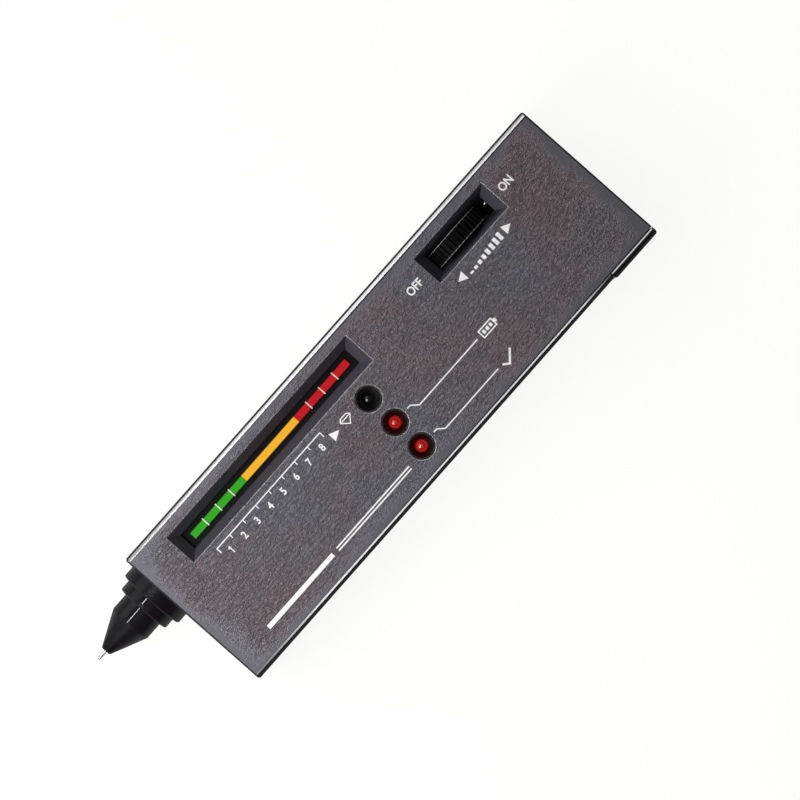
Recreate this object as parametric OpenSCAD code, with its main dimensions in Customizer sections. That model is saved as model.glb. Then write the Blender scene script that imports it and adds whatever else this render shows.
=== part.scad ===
// Handheld thermal gemstone tester: a slim two-shell case with a spring-loaded needle in its nose.
// Origin: centre of the case's back. +X runs to the battery end, +Y to the display edge, +Z out of the face.
// A station is a distance along the case from the outside of its nose end, on a case of the design length.

/* [Case] */
// Length of the case without the nose
case_l = 135; // [134:0.5:160]
// Wall thickness of both shells
wall = 2; // [1.6:0.1:2.4]
// Rounding of the long edges
edge_r = 1.2; // [1:0.1:2.2]
// Rounding of the edges of the two ends
end_r = 0.4; // [0.2:0.1:0.9]
// Rounding of the four corners seen from the front
corner_r = 0.7; // [0.3:0.1:1.2]
// Visible gap where the shells meet
seam = 0.2; // [0.1:0.05:0.3]
// Height of the lip that closes the seam from inside
lip_h = 1.5; // [1:0.1:2.5]

/* [Clearances] */
// Gap beside fixed pieces that drop into place
fit_gap = 0.2; // [0.1:0.05:0.3]
// Gap beside pieces that turn or slide past each other
run_gap = 0.3; // [0.25:0.05:0.4]
// Gap round the battery
cell_gap = 0.25; // [0.2:0.05:0.5]
// Radial gap of pins and shafts in their bores
bore_gap = 0.05; // [0.02:0.01:0.08]

/* [Display window] */
// Station of the window's rim
window_start = 10.1; // [9:0.1:12]
// Length of the rim
window_l = 60.6; // [59:0.1:63]
// Width of the rim
window_w = 8.05; // [7.5:0.05:8.6]
// Run of the sloping walls at the two ends
window_end_bevel = 2.3; // [1.5:0.1:2.6]
// Run of the sloping walls along the two sides
window_side_bevel = 1.85; // [1.2:0.05:2.2]
// Depth of the sloping walls
window_depth = 2.6; // [2.3:0.1:3.2]
// Break on the rims of the window and the wheel recess
rim_break = 0.2; // [0.1:0.05:0.3]

/* [Bar lamps] */
// Lamps of each colour in the row
lamps_per_colour = 4; // [3:1:4]
// Distance between neighbouring lamps
lamp_pitch = 4.4; // [4.2:0.05:4.5]
// Gap between neighbouring lamps
lamp_gap = 0.2; // [0.1:0.05:0.4]
// Width of a lamp
lamp_w = 2; // [1.6:0.1:2.6]
// Height of a lamp's body
lamp_h = 7; // [5:0.1:8]
// Height of the lamps above the holder's floor
lamp_rise = 0.4; // [0.1:0.1:0.6]
// Thickness of a lamp's lead
lead_t = 0.5; // [0.4:0.05:0.6]
// Distance between the two leads of a lamp
lead_pitch = 2.54; // [2:0.02:2.6]
// Height of the lamp holder
holder_h = 3.4; // [2.5:0.1:4]
// Width of the holder's border under the window
holder_margin = 1.2; // [0.8:0.1:1.4]
// Depth of the holder's channel
holder_channel = 0.8; // [0.6:0.1:1.2]

/* [Indicator cups] */
// Station of the row of cups
cup_station = 63.6; // [62:0.1:66]
// Distance of the first cup from the centre line
cup_first_y = 3.2; // [2.8:0.1:3.4]
// Distance between neighbouring cups
cup_pitch = 8; // [7.8:0.1:8.2]
// Diameter of a cup's rim
cup_d = 6; // [5.4:0.1:6.2]
// Height of a cup with its flange
cup_h = 5.65; // [5:0.05:6.5]
// Diameter of the flange behind the case face
cup_flange_d = 7.4; // [7:0.1:7.6]
// Thickness of that flange
cup_flange_t = 0.8; // [0.6:0.1:1.2]
// Depth of a cup's conical inside
cup_depth = 2.6; // [2:0.1:3]
// Distance of a cup's rim below the case face
cup_drop = 0.15; // [0.05:0.05:0.3]
// Thickness of a cup at its rim
cup_rim = 0.2; // [0.15:0.05:0.4]
// Wall of the tubes that hold the cups
cup_socket_wall = 1.2; // [0.8:0.1:1.5]
// Diameter of an indicator lamp
dome_d = 3; // [2.6:0.1:3.2]
// Height of an indicator lamp above its flange
dome_h = 4.3; // [3.6:0.1:4.6]
// Diameter of an indicator lamp's flange
dome_flange_d = 3.8; // [3.6:0.1:4]
// Thickness of an indicator lamp's flange
dome_flange_t = 1; // [0.6:0.1:1.2]
// Diameter of the sound hole
sound_hole_d = 1.6; // [1:0.1:2.2]
// Diameter of the sounder
sounder_d = 11.4; // [9:0.1:11.6]

/* [Volume wheel] */
// Station of the wheel's axis
wheel_station = 104.2; // [103.6:0.1:105.6]
// Diameter of the wheel
wheel_d = 18; // [17:0.1:19]
// Width of the wheel
wheel_w = 4; // [3.6:0.1:4.4]
// Height of the wheel's crest above the face
wheel_rise = 0.5; // [0.2:0.1:1]
// Number of grip teeth
wheel_teeth = 44; // [36:1:52]
// Depth of the grip teeth
tooth_depth = 0.4; // [0.2:0.05:0.6]
// Bevel on both edges of the tread
wheel_bevel = 0.35; // [0.2:0.05:0.6]
// Turn of the wheel between its two stops in degrees
wheel_travel = 280; // [240:5:300]
// Turn from the OFF stop to the modelled position in degrees
wheel_from_off = 200; // [120:5:220]
// Station of the recess rim
recess_start = 94; // [93.5:0.1:94.5]
// Length of the recess rim
recess_l = 22.7; // [22:0.1:23.5]
// Side gap between the wheel and its slot
slot_gap = 0.35; // [0.3:0.05:0.5]
// Run of the sloping walls at the recess's two ends
recess_end_bevel = 2.3; // [1.8:0.1:2.6]
// Run of the sloping walls along the recess's two sides
recess_side_bevel = 1.6; // [1.2:0.05:1.9]
// Depth of the sloping walls
recess_depth = 3; // [2.5:0.1:3.2]
// Thickness of the frame behind the window and the recess
frame_t = 1.6; // [1.4:0.1:2]
// Diameter of the volume control
pot_d = 10.5; // [9.5:0.1:10.8]
// Thickness of the volume control with its cover
pot_t = 3.4; // [3:0.1:4]
// Wall of the volume control's case
pot_wall = 0.8; // [0.6:0.05:1]
// Thickness of the volume control's cover
pot_cover_t = 0.6; // [0.5:0.05:0.8]
// Diameter of the volume control's shaft
shaft_d = 3; // [2.6:0.1:3.4]
// Diameter of the pivot behind the rotor
pivot_d = 2; // [1.6:0.1:2.2]
// Diameter of the rotor's disc
rotor_d = 6.8; // [6:0.1:7.2]
// Thickness of the rotor's disc
rotor_t = 0.9; // [0.6:0.1:1]
// Diameter of the wheel screw's thread
wheel_screw_d = 1.6; // [1.2:0.1:1.8]
// Length of the wheel screw's thread
wheel_screw_l = 3; // [2:0.1:3.4]
// Diameter of the wheel screw's head
wheel_head_d = 3.6; // [3.4:0.1:4]
// Thickness of the wheel screw's head
wheel_head_t = 0.8; // [0.5:0.1:0.9]

/* [Nose] */
// Distance of the nose axis from the display edge of the case
nose_inset = 10.25; // [10.2:0.05:11]
// Diameter of the bush's outer flange
flange_d = 16.3; // [14:0.1:16.4]
// Thickness of the bush's outer flange
flange_t = 3.4; // [2.6:0.1:3.8]
// Diameter of the bush's neck in the end wall
neck_d = 12; // [11:0.1:13]
// Diameter of the bush's inner flange
inner_flange_d = 15; // [14:0.1:15.5]
// Thickness of the bush's inner flange
inner_flange_t = 2.1; // [1.5:0.1:2.2]
// Diameter of the bush's inner tube
tube_d = 9.2; // [8.6:0.1:9.8]
// Length of the bush's inner tube
tube_l = 4; // [3.5:0.1:4.4]
// Diameter of the lock ring
ring_d = 13.4; // [11.5:0.1:14]
// Length of the lock ring
ring_l = 2.8; // [2.4:0.1:3.6]
// Diameter of the cone's straight barrel
barrel_d = 10.3; // [9:0.1:11]
// Length of the cone's straight barrel
barrel_l = 4.45; // [3.5:0.05:5.5]
// Length of the tapering part of the cone
cone_l = 8.45; // [7:0.05:10]
// Diameter of the cone's end
cone_tip_d = 2.7; // [2:0.05:3]
// Diameter of the cone's spigot in the bush
spigot_d = 7; // [6:0.1:7.6]
// Length of the spigot inside the case
spigot_in = 7.6; // [7:0.1:8]
// Bevel on the turned edges of the nose
nose_bevel = 0.25; // [0.1:0.05:0.4]

/* [Probe] */
// Diameter of the needle
needle_d = 0.8; // [0.6:0.05:1]
// Length of the needle outside the cone
needle_out = 2.5; // [1.5:0.1:3.5]
// Length of the cone's guide hole for the needle
guide_l = 6; // [5:0.1:7]
// Travel of the needle when it is pressed
needle_travel = 1; // [0.5:0.1:1.2]
// Diameter of the bore behind the guide hole
probe_bore_d = 3.5; // [3.4:0.1:3.8]
// Diameter of the needle's shoulder
shoulder_d = 3.3; // [3:0.05:3.35]
// Length of the needle's shoulder
shoulder_l = 1.5; // [1:0.1:2]
// Diameter of the rod behind the shoulder
rod_d = 1.6; // [1.4:0.05:1.7]
// Outside diameter of the heater sleeve
heater_d = 3; // [2.6:0.1:3.1]
// Length of the heater sleeve
heater_l = 4; // [3:0.1:4.5]
// Length of the spring at rest
spring_l = 8; // [7:0.1:8.5]
// Thickness of the spring's wire
spring_wire = 0.35; // [0.25:0.05:0.4]
// Turns of the spring
spring_turns = 7; // [5:1:8]
// Length of the rod inside the spring plug
rod_guide = 3; // [2:0.1:3.5]
// Diameter of a probe lead
probe_lead_d = 0.6; // [0.5:0.05:0.7]
// Distance between the probe leads' bends and the board
probe_bend = 2.2; // [2:0.1:2.4]
// Distance of the probe leads' pads from the board's nose end
probe_pad = 1.2; // [1:0.1:1.4]
// Side step of the probe leads from the nose axis to their pads
probe_step = 1.5; // [1.2:0.1:1.8]
// Height of the last bend of the probe leads above the board
probe_rise = 2; // [1.8:0.1:2.4]

/* [Battery] */
// Length of the battery without its terminals
battery_l = 46.2; // [45:0.1:47]
// Width of the battery
battery_w = 26.3; // [25.5:0.1:27]
// Thickness of the battery
battery_h = 17; // [16.5:0.1:18]
// Rounding of the battery's long edges
battery_r = 2; // [1:0.1:3]
// Height of the battery's terminals
terminal_h = 2.5; // [2.2:0.1:3]
// Distance between the terminals
terminal_pitch = 12.7; // [12:0.1:13]
// Diameter of the smaller terminal
stud_d = 5.7; // [5:0.1:6]
// Diameter of the larger terminal
socket_d = 8.2; // [7.5:0.1:8.6]
// Thickness of the foam pad above the battery
pad_t = 0.75; // [0.5:0.05:1.5]
// Length of the foam pad
pad_l = 30; // [20:1:40]
// Width of the foam pad
pad_w = 18; // [12:1:22]
// Thickness of the snap connector
snap_t = 4.6; // [4:0.1:5]
// Width of the snap connector
snap_w = 25; // [23:0.1:25.5]
// Height of the snap connector
snap_h = 13.5; // [12:0.1:14]
// Diameter of a battery lead
battery_lead_d = 1.3; // [1:0.1:1.6]
// Height of the leads above the snap connector
lead_rise = 1.2; // [1:0.1:1.4]
// Rounding of the leads' bends
lead_bend = 1.1; // [0.9:0.1:1.2]
// Distance of the leads' ends from the edges of the snap connector and the board
lead_inset = 1.5; // [1.3:0.1:1.7]

/* [Battery door] */
// Thickness of the walls beside the battery
partition_t = 1.5; // [1.3:0.1:1.8]
// Length of the door's tab on the long edge
tab_l = 14; // [10:0.5:18]
// Distance by which the tab stands proud of the long edge
tab_proud = 0.5; // [0.2:0.05:0.8]
// Distance of the tab's inner face from the long edge
tab_inset = 1.2; // [1.2:0.05:1.75]
// Distance of the tab's top below the face
tab_drop = 0.4; // [0.2:0.1:1]
// Thickness of the tongues that guide the door
tongue_t = 0.7; // [0.5:0.05:0.8]
// Reach of the tongues into their grooves
tongue_l = 0.9; // [0.6:0.05:1]
// Gap round the tongues
tongue_gap = 0.12; // [0.1:0.01:0.15]
// Grooves in the door's finger grip
grip_grooves = 6; // [4:1:8]
// Distance between the grooves
grip_pitch = 2; // [1.6:0.1:2.4]
// Length of the grooves
grip_l = 16; // [10:1:18]
// Depth of the grooves
grip_depth = 0.4; // [0.2:0.05:0.6]

/* [Circuit board] */
// Station of the board's nose end
board_start = 12.5; // [12:0.1:13.5]
// Station of the far end of the board's arm
board_end = 120.5; // [120:0.1:121.5]
// Height of the board's top face above the back
board_top = 6.5; // [6.2:0.1:6.8]
// Thickness of the board
board_t = 1.6; // [1:0.1:1.8]
// Gap between the board and the shells
board_gap = 0.4; // [0.3:0.05:0.5]
// Length of the bar driver chip
driver_l = 22.9; // [20:0.1:24]
// Length of the amplifier chip
amplifier_l = 19.2; // [17:0.1:20]
// Width of a chip's body
chip_w = 6.4; // [6:0.1:6.8]
// Height of a chip's body
chip_h = 3.3; // [3:0.1:3.6]
// Height of a chip's body above the board
chip_lift = 0.5; // [0.3:0.1:0.8]
// Side of the trimmer
trimmer_side = 6.8; // [6:0.1:7.5]
// Height of the trimmer
trimmer_h = 5; // [4:0.1:6]
// Diameter of the trimmer's screw
trimmer_screw_d = 3.5; // [3:0.1:4]
// Thickness of the trimmer's screw
trimmer_screw_t = 1.2; // [0.8:0.1:1.5]
// Diameter of a capacitor
capacitor_d = 5; // [4:0.1:5.5]
// Height of a capacitor
capacitor_h = 8; // [6:0.1:11]
// Diameter of a resistor
resistor_d = 2.3; // [1.8:0.1:2.4]
// Length of a resistor's body
resistor_l = 5.2; // [4:0.1:5.6]
// Diameter of a transistor
transistor_d = 4.6; // [4:0.1:5]
// Height of a transistor's body
transistor_h = 4.6; // [4:0.1:5.5]
// Distance of the bar driver chip from the centre line
driver_y = 3.5; // [3:0.1:4]
// Distance of the amplifier chip from the centre line, towards the door's edge
amplifier_y = 7.5; // [7:0.1:8]
// Distance of the resistors from the centre line, towards the door's edge
resistor_y = 14.8; // [14.5:0.1:15]
// Distance between the two rows of resistors
resistor_pitch = 3; // [2.6:0.1:3.2]
// Distance of the first capacitors from the board's nose end
capacitor_inset = 5; // [4.5:0.1:5.5]
// Distance of the last capacitor from the row of cups
capacitor_reach = 7.1; // [6.8:0.1:7.5]
// Gap between the trimmer and the sounder
trimmer_gap = 0.5; // [0.4:0.1:0.6]

/* [Screws] */
// Diameter of a case screw
screw_d = 2.6; // [2.2:0.1:2.9]
// Length of a case screw
screw_l = 10; // [8:0.5:12]
// Diameter of a case screw's head
screw_head_d = 4.4; // [4:0.1:4.6]
// Thickness of a case screw's head
screw_head_t = 1.6; // [1.2:0.1:2]
// Height of the screw seats above the back
screw_seat = 5; // [4:0.1:6]
// Diameter of the case's screw posts
post_d = 6; // [5.8:0.1:6.4]
// Station of the post beside the nose
nose_post_station = 7; // [6:0.5:8]
// Distance of that post from the centre line
nose_post_y = 13; // [11:0.5:14]
// Distance of the rearmost post from the rear end
rear_post_inset = 8.5; // [7:0.5:9]
// Diameter of a board screw
board_screw_d = 1.8; // [1.4:0.1:2]
// Length of a board screw's thread
board_screw_l = 6; // [5:0.5:8]
// Diameter of a board screw's head
board_head_d = 3.6; // [3:0.1:4]
// Thickness of a board screw's head
board_head_t = 1.3; // [1:0.1:1.6]
// Diameter of the board's posts
board_post_d = 5; // [4.4:0.1:5.2]
// Distance of the first board post from the board's nose end
board_post_inset = 4.5; // [4:0.1:5]
// Distance of the second board post from the row of cups
board_post_reach = 7.5; // [7:0.1:8]
// Distance of those posts from the centre line
board_post_y = 13.5; // [13:0.1:14]
// Distance of the third board post from the end of the board's arm
arm_post_inset = 2.5; // [2.4:0.1:3]

/* [Hidden] */
$fn = 64;

// Overall width and thickness come from what lies side by side and one above the other
case_w = 2 * wall + 2 * cell_gap + battery_w + partition_t + 2 * run_gap + wheel_w + pot_t + fit_gap;
case_h = 2 * wall + cell_gap + battery_h + pad_t;
half_l = case_l / 2;
half_w = case_w / 2;
split_z = case_h / 2;
ceiling = case_h - wall;
over = 1;
design_l = 135;

// Places that keep their distance from the nose end, and places that keep it from the rear end
function station(s) = s - half_l;
function rear_station(s) = s - design_l + half_l;

// Ranges along an axis: about a middle, from a start, and widened at both ends
function around(mid, width) = [mid - width / 2, mid + width / 2];
function span(start, length) = [start, start + length];
function grown(range, gap) = [range[0] - gap, range[1] + gap];

// Volume wheel
wheel_x = rear_station(wheel_station);
wheel_y = half_w - wall - fit_gap - pot_t - run_gap - wheel_w / 2;
wheel_z = case_h + wheel_rise - wheel_d / 2;
slot_w = wheel_w + 2 * slot_gap;
recess_x = span(rear_station(recess_start), recess_l);
recess_y = around(wheel_y, slot_w + 2 * recess_side_bevel);
pot_front = wheel_w / 2 + run_gap;
pot_back = pot_front + pot_t;
pot_cavity = [pot_front + pot_wall, pot_back - pot_cover_t];
pot_cavity_d = pot_d - 2 * pot_wall;
rotor_z = pot_cavity[0] + run_gap;
wheel_seat = -wheel_w / 2 + wheel_head_t + fit_gap;
lug_half = 12;
stop_slack = 0.5;
stop_free = (360 - wheel_travel) / 2;
stop_half = stop_free - lug_half - stop_slack;
stop_angle = 90;
stop_reach = rotor_d / 2 + bore_gap;

// Display window, in line with the wheel
window_x = span(station(window_start), window_l);
window_y = around(wheel_y, window_w);
window_mid = (window_x[0] + window_x[1]) / 2;
opening_l = window_l - 2 * window_end_bevel;
opening_w = window_w - 2 * window_side_bevel;
holder_top = case_h - window_depth;
lamp_count = 3 * lamps_per_colour;
lamp_row = lamp_count * lamp_pitch;
holder_l = max(opening_l, lamp_row + 2 * bore_gap) + 2 * holder_margin;
lamp_top = holder_top - holder_channel + lamp_rise;
lamp_base = lamp_top - lamp_h;

// Indicator cups
cup_x = rear_station(cup_station);
function cup_y(i) = cup_first_y - i * cup_pitch;
cup_top = case_h - cup_drop;
cup_base = cup_top - cup_h;
cup_seat = cup_base + cup_flange_t;

// Nose and probe, as distances u outward from the case's nose end
nose_y = half_w - nose_inset;
spigot_r = spigot_d / 2;
u_ring = flange_t;
u_barrel = u_ring + ring_l;
u_cone = u_barrel + barrel_l;
u_tip = u_cone + cone_l;
u_step = u_tip - guide_l;
u_shoulder = u_step - bore_gap;
u_heater = u_shoulder - shoulder_l;
u_spring = u_heater - heater_l;
u_plug = u_spring - spring_l;
u_rod_end = u_plug - rod_guide;
u_rod_stop = u_rod_end - needle_travel - bore_gap;
u_flange_in = -wall - bore_gap;
u_tube_in = u_flange_in - inner_flange_t;
spring_r = (heater_d - spring_wire) / 2;
plug_r = probe_bore_d / 2 - bore_gap / 2;
plug_hole_r = rod_d / 2 + 2 * bore_gap;
probe_lead_r = (plug_r + plug_hole_r) / 2;

// Battery, its door and the walls round it
battery_x = half_l - wall - cell_gap - battery_l;
battery_mid_x = battery_x + battery_l / 2;
battery_y0 = -half_w + wall + cell_gap;
battery_y = battery_y0 + battery_w / 2;
battery_z = wall + cell_gap + battery_h / 2;
snap_x1 = battery_x - fit_gap;
snap_x0 = snap_x1 - snap_t;
snap_top = battery_z + snap_h / 2;
bay_x = snap_x0 - cell_gap;
cross_x = bay_x - partition_t;
partition_y0 = battery_y0 + battery_w + cell_gap;
partition_y1 = partition_y0 + partition_t;
door_x = bay_x + fit_gap;
door_y = partition_y0 - fit_gap;
tab_x = half_l - tab_l;
tab_y = -half_w + tab_inset;
tongue_z = (wall - tongue_t) / 2;
tongue_top = split_z + seam / 2 + tongue_l;
tongue_y = -half_w + (wall - tongue_t) / 2;

// Circuit board and its pieces
board_x0 = station(board_start);
board_x1 = cross_x - board_gap;
board_half_w = half_w - wall - board_gap;
arm_x = rear_station(board_end);
arm_y = partition_y1 + fit_gap;
lane_y = (partition_y1 + half_w - wall) / 2;
post_side_y = half_w - wall - post_d / 2 + fit_gap;
post_room = post_d / 2 + board_gap;
posts = [
  [station(nose_post_station), -nose_post_y],
  [cross_x - post_room, -post_side_y],
  [(window_x[1] + recess_x[0]) / 2, post_side_y],
  [half_l - rear_post_inset, lane_y]
];
board_posts = [
  [board_x0 + board_post_inset, -board_post_y],
  [cup_x - board_post_reach, -board_post_y],
  [arm_x - arm_post_inset, lane_y]
];
capacitor_at = [
  [board_x0 + capacitor_inset, driver_y],
  [board_x0 + capacitor_inset, -amplifier_y],
  [cup_x - capacitor_reach, -amplifier_y]
];
chips_x = capacitor_at[0].x + capacitor_d / 2;
driver_at = [(chips_x + cup_x - sounder_d / 2) / 2, driver_y];
amplifier_at = [(chips_x + capacitor_at[2].x - capacitor_d / 2) / 2, -amplifier_y];
resistors_x = [board_posts[0].x + board_post_d / 2, board_posts[1].x - board_post_d / 2];
function resistor_x(i) = resistors_x[0] + (i + 0.5) / 3 * (resistors_x[1] - resistors_x[0]);
resistor_at = [
  for (i = [0:2], side = [-1, 1])
    [resistor_x(i), side * resistor_pitch / 2 - resistor_y]
];
trimmer_at = [(cup_x + board_x1) / 2, cup_y(0) - (sounder_d + trimmer_side) / 2 - trimmer_gap];
transistor_at = [for (i = [0, 2]) [capacitor_at[i].x, (driver_y - amplifier_y) / 2]];

// Leads, as routes with rounded bends
plug_face = -half_l + spigot_in;
function probe_route(side) = [
  [plug_face, nose_y + side * probe_lead_r, split_z],
  [board_x0 - probe_bend, nose_y + side * probe_lead_r, split_z],
  [board_x0 + probe_pad, nose_y - probe_step + side * probe_pad, board_top + probe_rise],
  [board_x0 + probe_pad, nose_y - probe_step + side * probe_pad, board_top]
];
function battery_route(y) = [
  [snap_x0 + lead_inset, y, snap_top],
  [snap_x0 + lead_inset, y, snap_top + lead_rise],
  [board_x1 - lead_inset, y, snap_top + lead_rise],
  [board_x1 - lead_inset, y, board_top]
];

// Shared shapes

module slab(x, y, z)
  translate([x[0], y[0], z[0]])
    cube([x[1] - x[0], y[1] - y[0], z[1] - z[0]]);

module rounded_rect(size, r) {
  square([size.x - 2 * r, size.y], center = true);
  square([size.x, size.y - 2 * r], center = true);
  for (x = [-1, 1], y = [-1, 1])
    translate([x * (size.x / 2 - r), y * (size.y / 2 - r)])
      circle(r);
}

// Extrudes a flat shape along X, with the shape's x and y along Y and Z
module along_x(x, length)
  translate([x, 0, 0])
    rotate([90, 0, 90])
      linear_extrude(length)
        children();

// Extrudes a flat shape along Y, with the shape's x and y along X and Z
module along_y(y, length)
  translate([0, y + length, 0])
    rotate([90, 0, 0])
      linear_extrude(length)
        children();

// Turns a half outline of radii and outward distances about the nose axis
module nose_turned(points)
  translate([-half_l, nose_y, split_z])
    rotate([0, -90, 0])
      rotate_extrude()
        polygon(points);

// Puts shapes made on the Z axis onto the wheel's axis, with Z turned to +Y
module on_wheel_axis()
  translate([wheel_x, wheel_y, wheel_z])
    rotate([-90, 0, 0])
      children();

module tube(inner_d, outer_d, z)
  translate([0, 0, z[0]])
    difference() {
      cylinder(d = outer_d, h = z[1] - z[0]);
      translate([0, 0, -over])
        cylinder(d = inner_d, h = z[1] - z[0] + 2 * over);
    }

// A slice of a ring between two radii, centred on an angle
module ring_sector(r, angle, half_angle, z) {
  reach = 2 * r[1];
  translate([0, 0, z[0]])
    linear_extrude(z[1] - z[0])
      intersection() {
        difference() {
          circle(r[1]);
          circle(r[0]);
        }
        polygon([
          [0, 0],
          reach * [cos(angle - half_angle), sin(angle - half_angle)],
          reach * [cos(angle), sin(angle)],
          reach * [cos(angle + half_angle), sin(angle + half_angle)]
        ]);
      }
}

// A cross-slotted screw standing on its head, with the seat of the head at z = 0
module screw(d, length, head_d, head_t) {
  slot = head_d / 5;
  difference() {
    union() {
      translate([0, 0, -head_t])
        cylinder(d1 = head_d - head_t / 2, d2 = head_d, h = head_t / 2);
      translate([0, 0, -head_t / 2])
        cylinder(d = head_d, h = head_t / 2);
      cylinder(d = d, h = length - d / 2);
      translate([0, 0, length - d / 2])
        cylinder(d1 = d, d2 = d / 3, h = d / 2);
    }
    for (a = [0, 90])
      rotate([0, 0, a])
        translate([-head_d / 3, -slot / 2, -head_t - over])
          cube([head_d * 2 / 3, slot, over + head_t * 0.6]);
  }
}

function unit(v) = v / norm(v);

// Route points with each inner corner replaced by a short curve
function rounded_route(points, bend) = [
  points[0],
  for (i = [1:len(points) - 2])
    let (
      a = points[i] + bend * unit(points[i - 1] - points[i]),
      b = points[i] + bend * unit(points[i + 1] - points[i])
    )
      for (t = [0:0.25:1])
        (1 - t) * (1 - t) * a + 2 * t * (1 - t) * points[i] + t * t * b,
  points[len(points) - 1]
];

function tangents(points) = [
  for (i = [0:len(points) - 1])
    unit(points[min(i + 1, len(points) - 1)] - points[max(i - 1, 0)])
];

// One closed tube along points; each reference vector sets where its ring of corners starts
module swept_tube(points, references, r, sides) {
  count = len(points);
  along = tangents(points);
  corners = [
    for (i = [0:count - 1])
      let (
        n = unit(references[i] - (references[i] * along[i]) * along[i]),
        b = cross(along[i], n)
      )
        for (j = [0:sides - 1])
          points[i] + r * (cos(j * 360 / sides) * n + sin(j * 360 / sides) * b)
  ];
  walls = [
    for (i = [0:count - 2], j = [0:sides - 1])
      let (
        k = (j + 1) % sides,
        a = i * sides,
        c = a + sides
      )
        each [[a + j, c + j, c + k], [a + j, c + k, a + k]]
  ];
  start = [for (j = [0:sides - 1]) j];
  finish = [for (j = [sides - 1:-1:0]) (count - 1) * sides + j];
  polyhedron(corners, concat([start, finish], walls));
}

module lead(route, d) {
  points = rounded_route(route, lead_bend);
  swept_tube(points, [for (p = points) [0, 1, 0]], d / 2, 8);
}

// Case

module case_block()
  intersection() {
    along_x(-half_l, case_l)
      translate([0, split_z])
        rounded_rect([case_w, case_h], edge_r);
    along_y(-half_w, case_w)
      translate([0, split_z])
        rounded_rect([case_l, case_h], end_r);
    linear_extrude(case_h)
      rounded_rect([case_l, case_w], corner_r);
  }

// A box that follows the case walls at a distance in from their outside
module inset_box(inset, z)
  slab([-1, 1] * (half_l - inset), [-1, 1] * (half_w - inset), z);

// The corner of the case that the battery door takes up
module door_corner(x, y, z)
  slab([x, half_l + over], [-half_w - over, y], z);

// The inner half of the walls, where the lip stands, away from the door
module lip_band(outer_inset, z)
  difference() {
    inset_box(outer_inset, z);
    inset_box(wall, grown(z, over));
    door_corner(cross_x, partition_y1, grown(z, over));
  }

module nose_seat()
  translate([-half_l - over, nose_y, split_z])
    rotate([0, 90, 0])
      cylinder(d = neck_d + 2 * bore_gap, h = wall + 2 * over);

function pocket_outline(a, b, bevel, depth) = [
  [a - rim_break, case_h + over], [b + rim_break, case_h + over],
  [b + rim_break, case_h], [b, case_h - rim_break],
  [b - bevel, case_h - depth], [b - bevel, case_h - depth - over],
  [a + bevel, case_h - depth - over], [a + bevel, case_h - depth],
  [a, case_h - rim_break], [a - rim_break, case_h]
];

// A pocket with four sloping walls and an open floor
module pocket(x, y, end_bevel, side_bevel, depth)
  intersection() {
    along_y(y[0] - over, y[1] - y[0] + 2 * over)
      polygon(pocket_outline(x[0], x[1], end_bevel, depth));
    along_x(x[0] - over, x[1] - x[0] + 2 * over)
      polygon(pocket_outline(y[0], y[1], side_bevel, depth));
  }

// The frame behind a pocket's open floor
module pocket_frame(x, y, end_bevel, side_bevel, depth)
  slab(
    grown(x, frame_t - end_bevel),
    grown(y, frame_t - side_bevel),
    [case_h - depth, ceiling + wall / 2]
  );

module cup_bore(i)
  translate([cup_x, cup_y(i), 0]) {
    bore_d = cup_d + 2 * bore_gap;
    translate([0, 0, cup_seat - over])
      cylinder(d = bore_d, h = case_h - cup_seat + 2 * over);
    translate([0, 0, case_h - rim_break])
      cylinder(d1 = bore_d, d2 = bore_d + 4 * rim_break, h = 2 * rim_break);
  }

module front_posts()
  for (p = posts)
    translate([p.x, p.y, split_z])
      cylinder(d = post_d, h = ceiling + wall / 2 - split_z);

module board_post_set()
  for (p = board_posts)
    translate([p.x, p.y, board_top])
      cylinder(d = board_post_d, h = ceiling + wall / 2 - board_top);

module front_screw_holes() {
  for (p = posts)
    translate([p.x, p.y, split_z - over])
      cylinder(d = screw_d + 2 * bore_gap, h = screw_seat + screw_l - split_z + 2 * over);
  for (p = board_posts)
    translate([p.x, p.y, board_top - over])
      cylinder(d = board_screw_d + 2 * bore_gap, h = board_screw_l - board_t + 2 * over);
}

module tab_notch() {
  x0 = tab_x - fit_gap;
  slab([x0, half_l + over], [-half_w - over, tab_y + fit_gap], [0, case_h + over]);
  slab([x0, half_l - wall], [-half_w - over, -half_w + wall + fit_gap / 2], [0, ceiling]);
}

module door_top_groove()
  slab(
    [bay_x - tongue_gap, half_l + over],
    grown(span(tongue_y, tongue_t), tongue_gap),
    [split_z - over, tongue_top + tongue_gap]
  );

module front_shell()
  color("dimgray")
    difference() {
      union() {
        difference() {
          case_block();
          inset_box(wall, [wall, ceiling]);
          inset_box(-over, [-over, split_z + seam / 2]);
        }
        pocket_frame(window_x, window_y, window_end_bevel, window_side_bevel, window_depth);
        pocket_frame(recess_x, recess_y, recess_end_bevel, recess_side_bevel, recess_depth);
        for (i = [0:2])
          translate([cup_x, cup_y(i), cup_seat])
            cylinder(d = cup_d + 2 * cup_socket_wall, h = ceiling + wall / 2 - cup_seat);
        front_posts();
        board_post_set();
        slab([bay_x, half_l - wall / 2], [partition_y0, partition_y1], [case_h * 2 / 3, ceiling + wall / 2]);
      }
      pocket(window_x, window_y, window_end_bevel, window_side_bevel, window_depth);
      pocket(recess_x, recess_y, recess_end_bevel, recess_side_bevel, recess_depth);
      for (i = [0:2])
        cup_bore(i);
      front_screw_holes();
      lip_band(wall / 2, [split_z - over, split_z + lip_h + fit_gap]);
      nose_seat();
      door_top_groove();
      tab_notch();
    }

module rear_posts()
  for (p = posts)
    translate([p.x, p.y, wall / 2])
      cylinder(d = post_d, h = split_z - wall / 2);

module rear_screw_holes()
  for (p = posts)
    translate([p.x, p.y, -over]) {
      cylinder(d = screw_head_d + 2 * fit_gap, h = screw_seat + over);
      cylinder(d = screw_d + 2 * bore_gap, h = split_z + 2 * over);
    }

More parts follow.
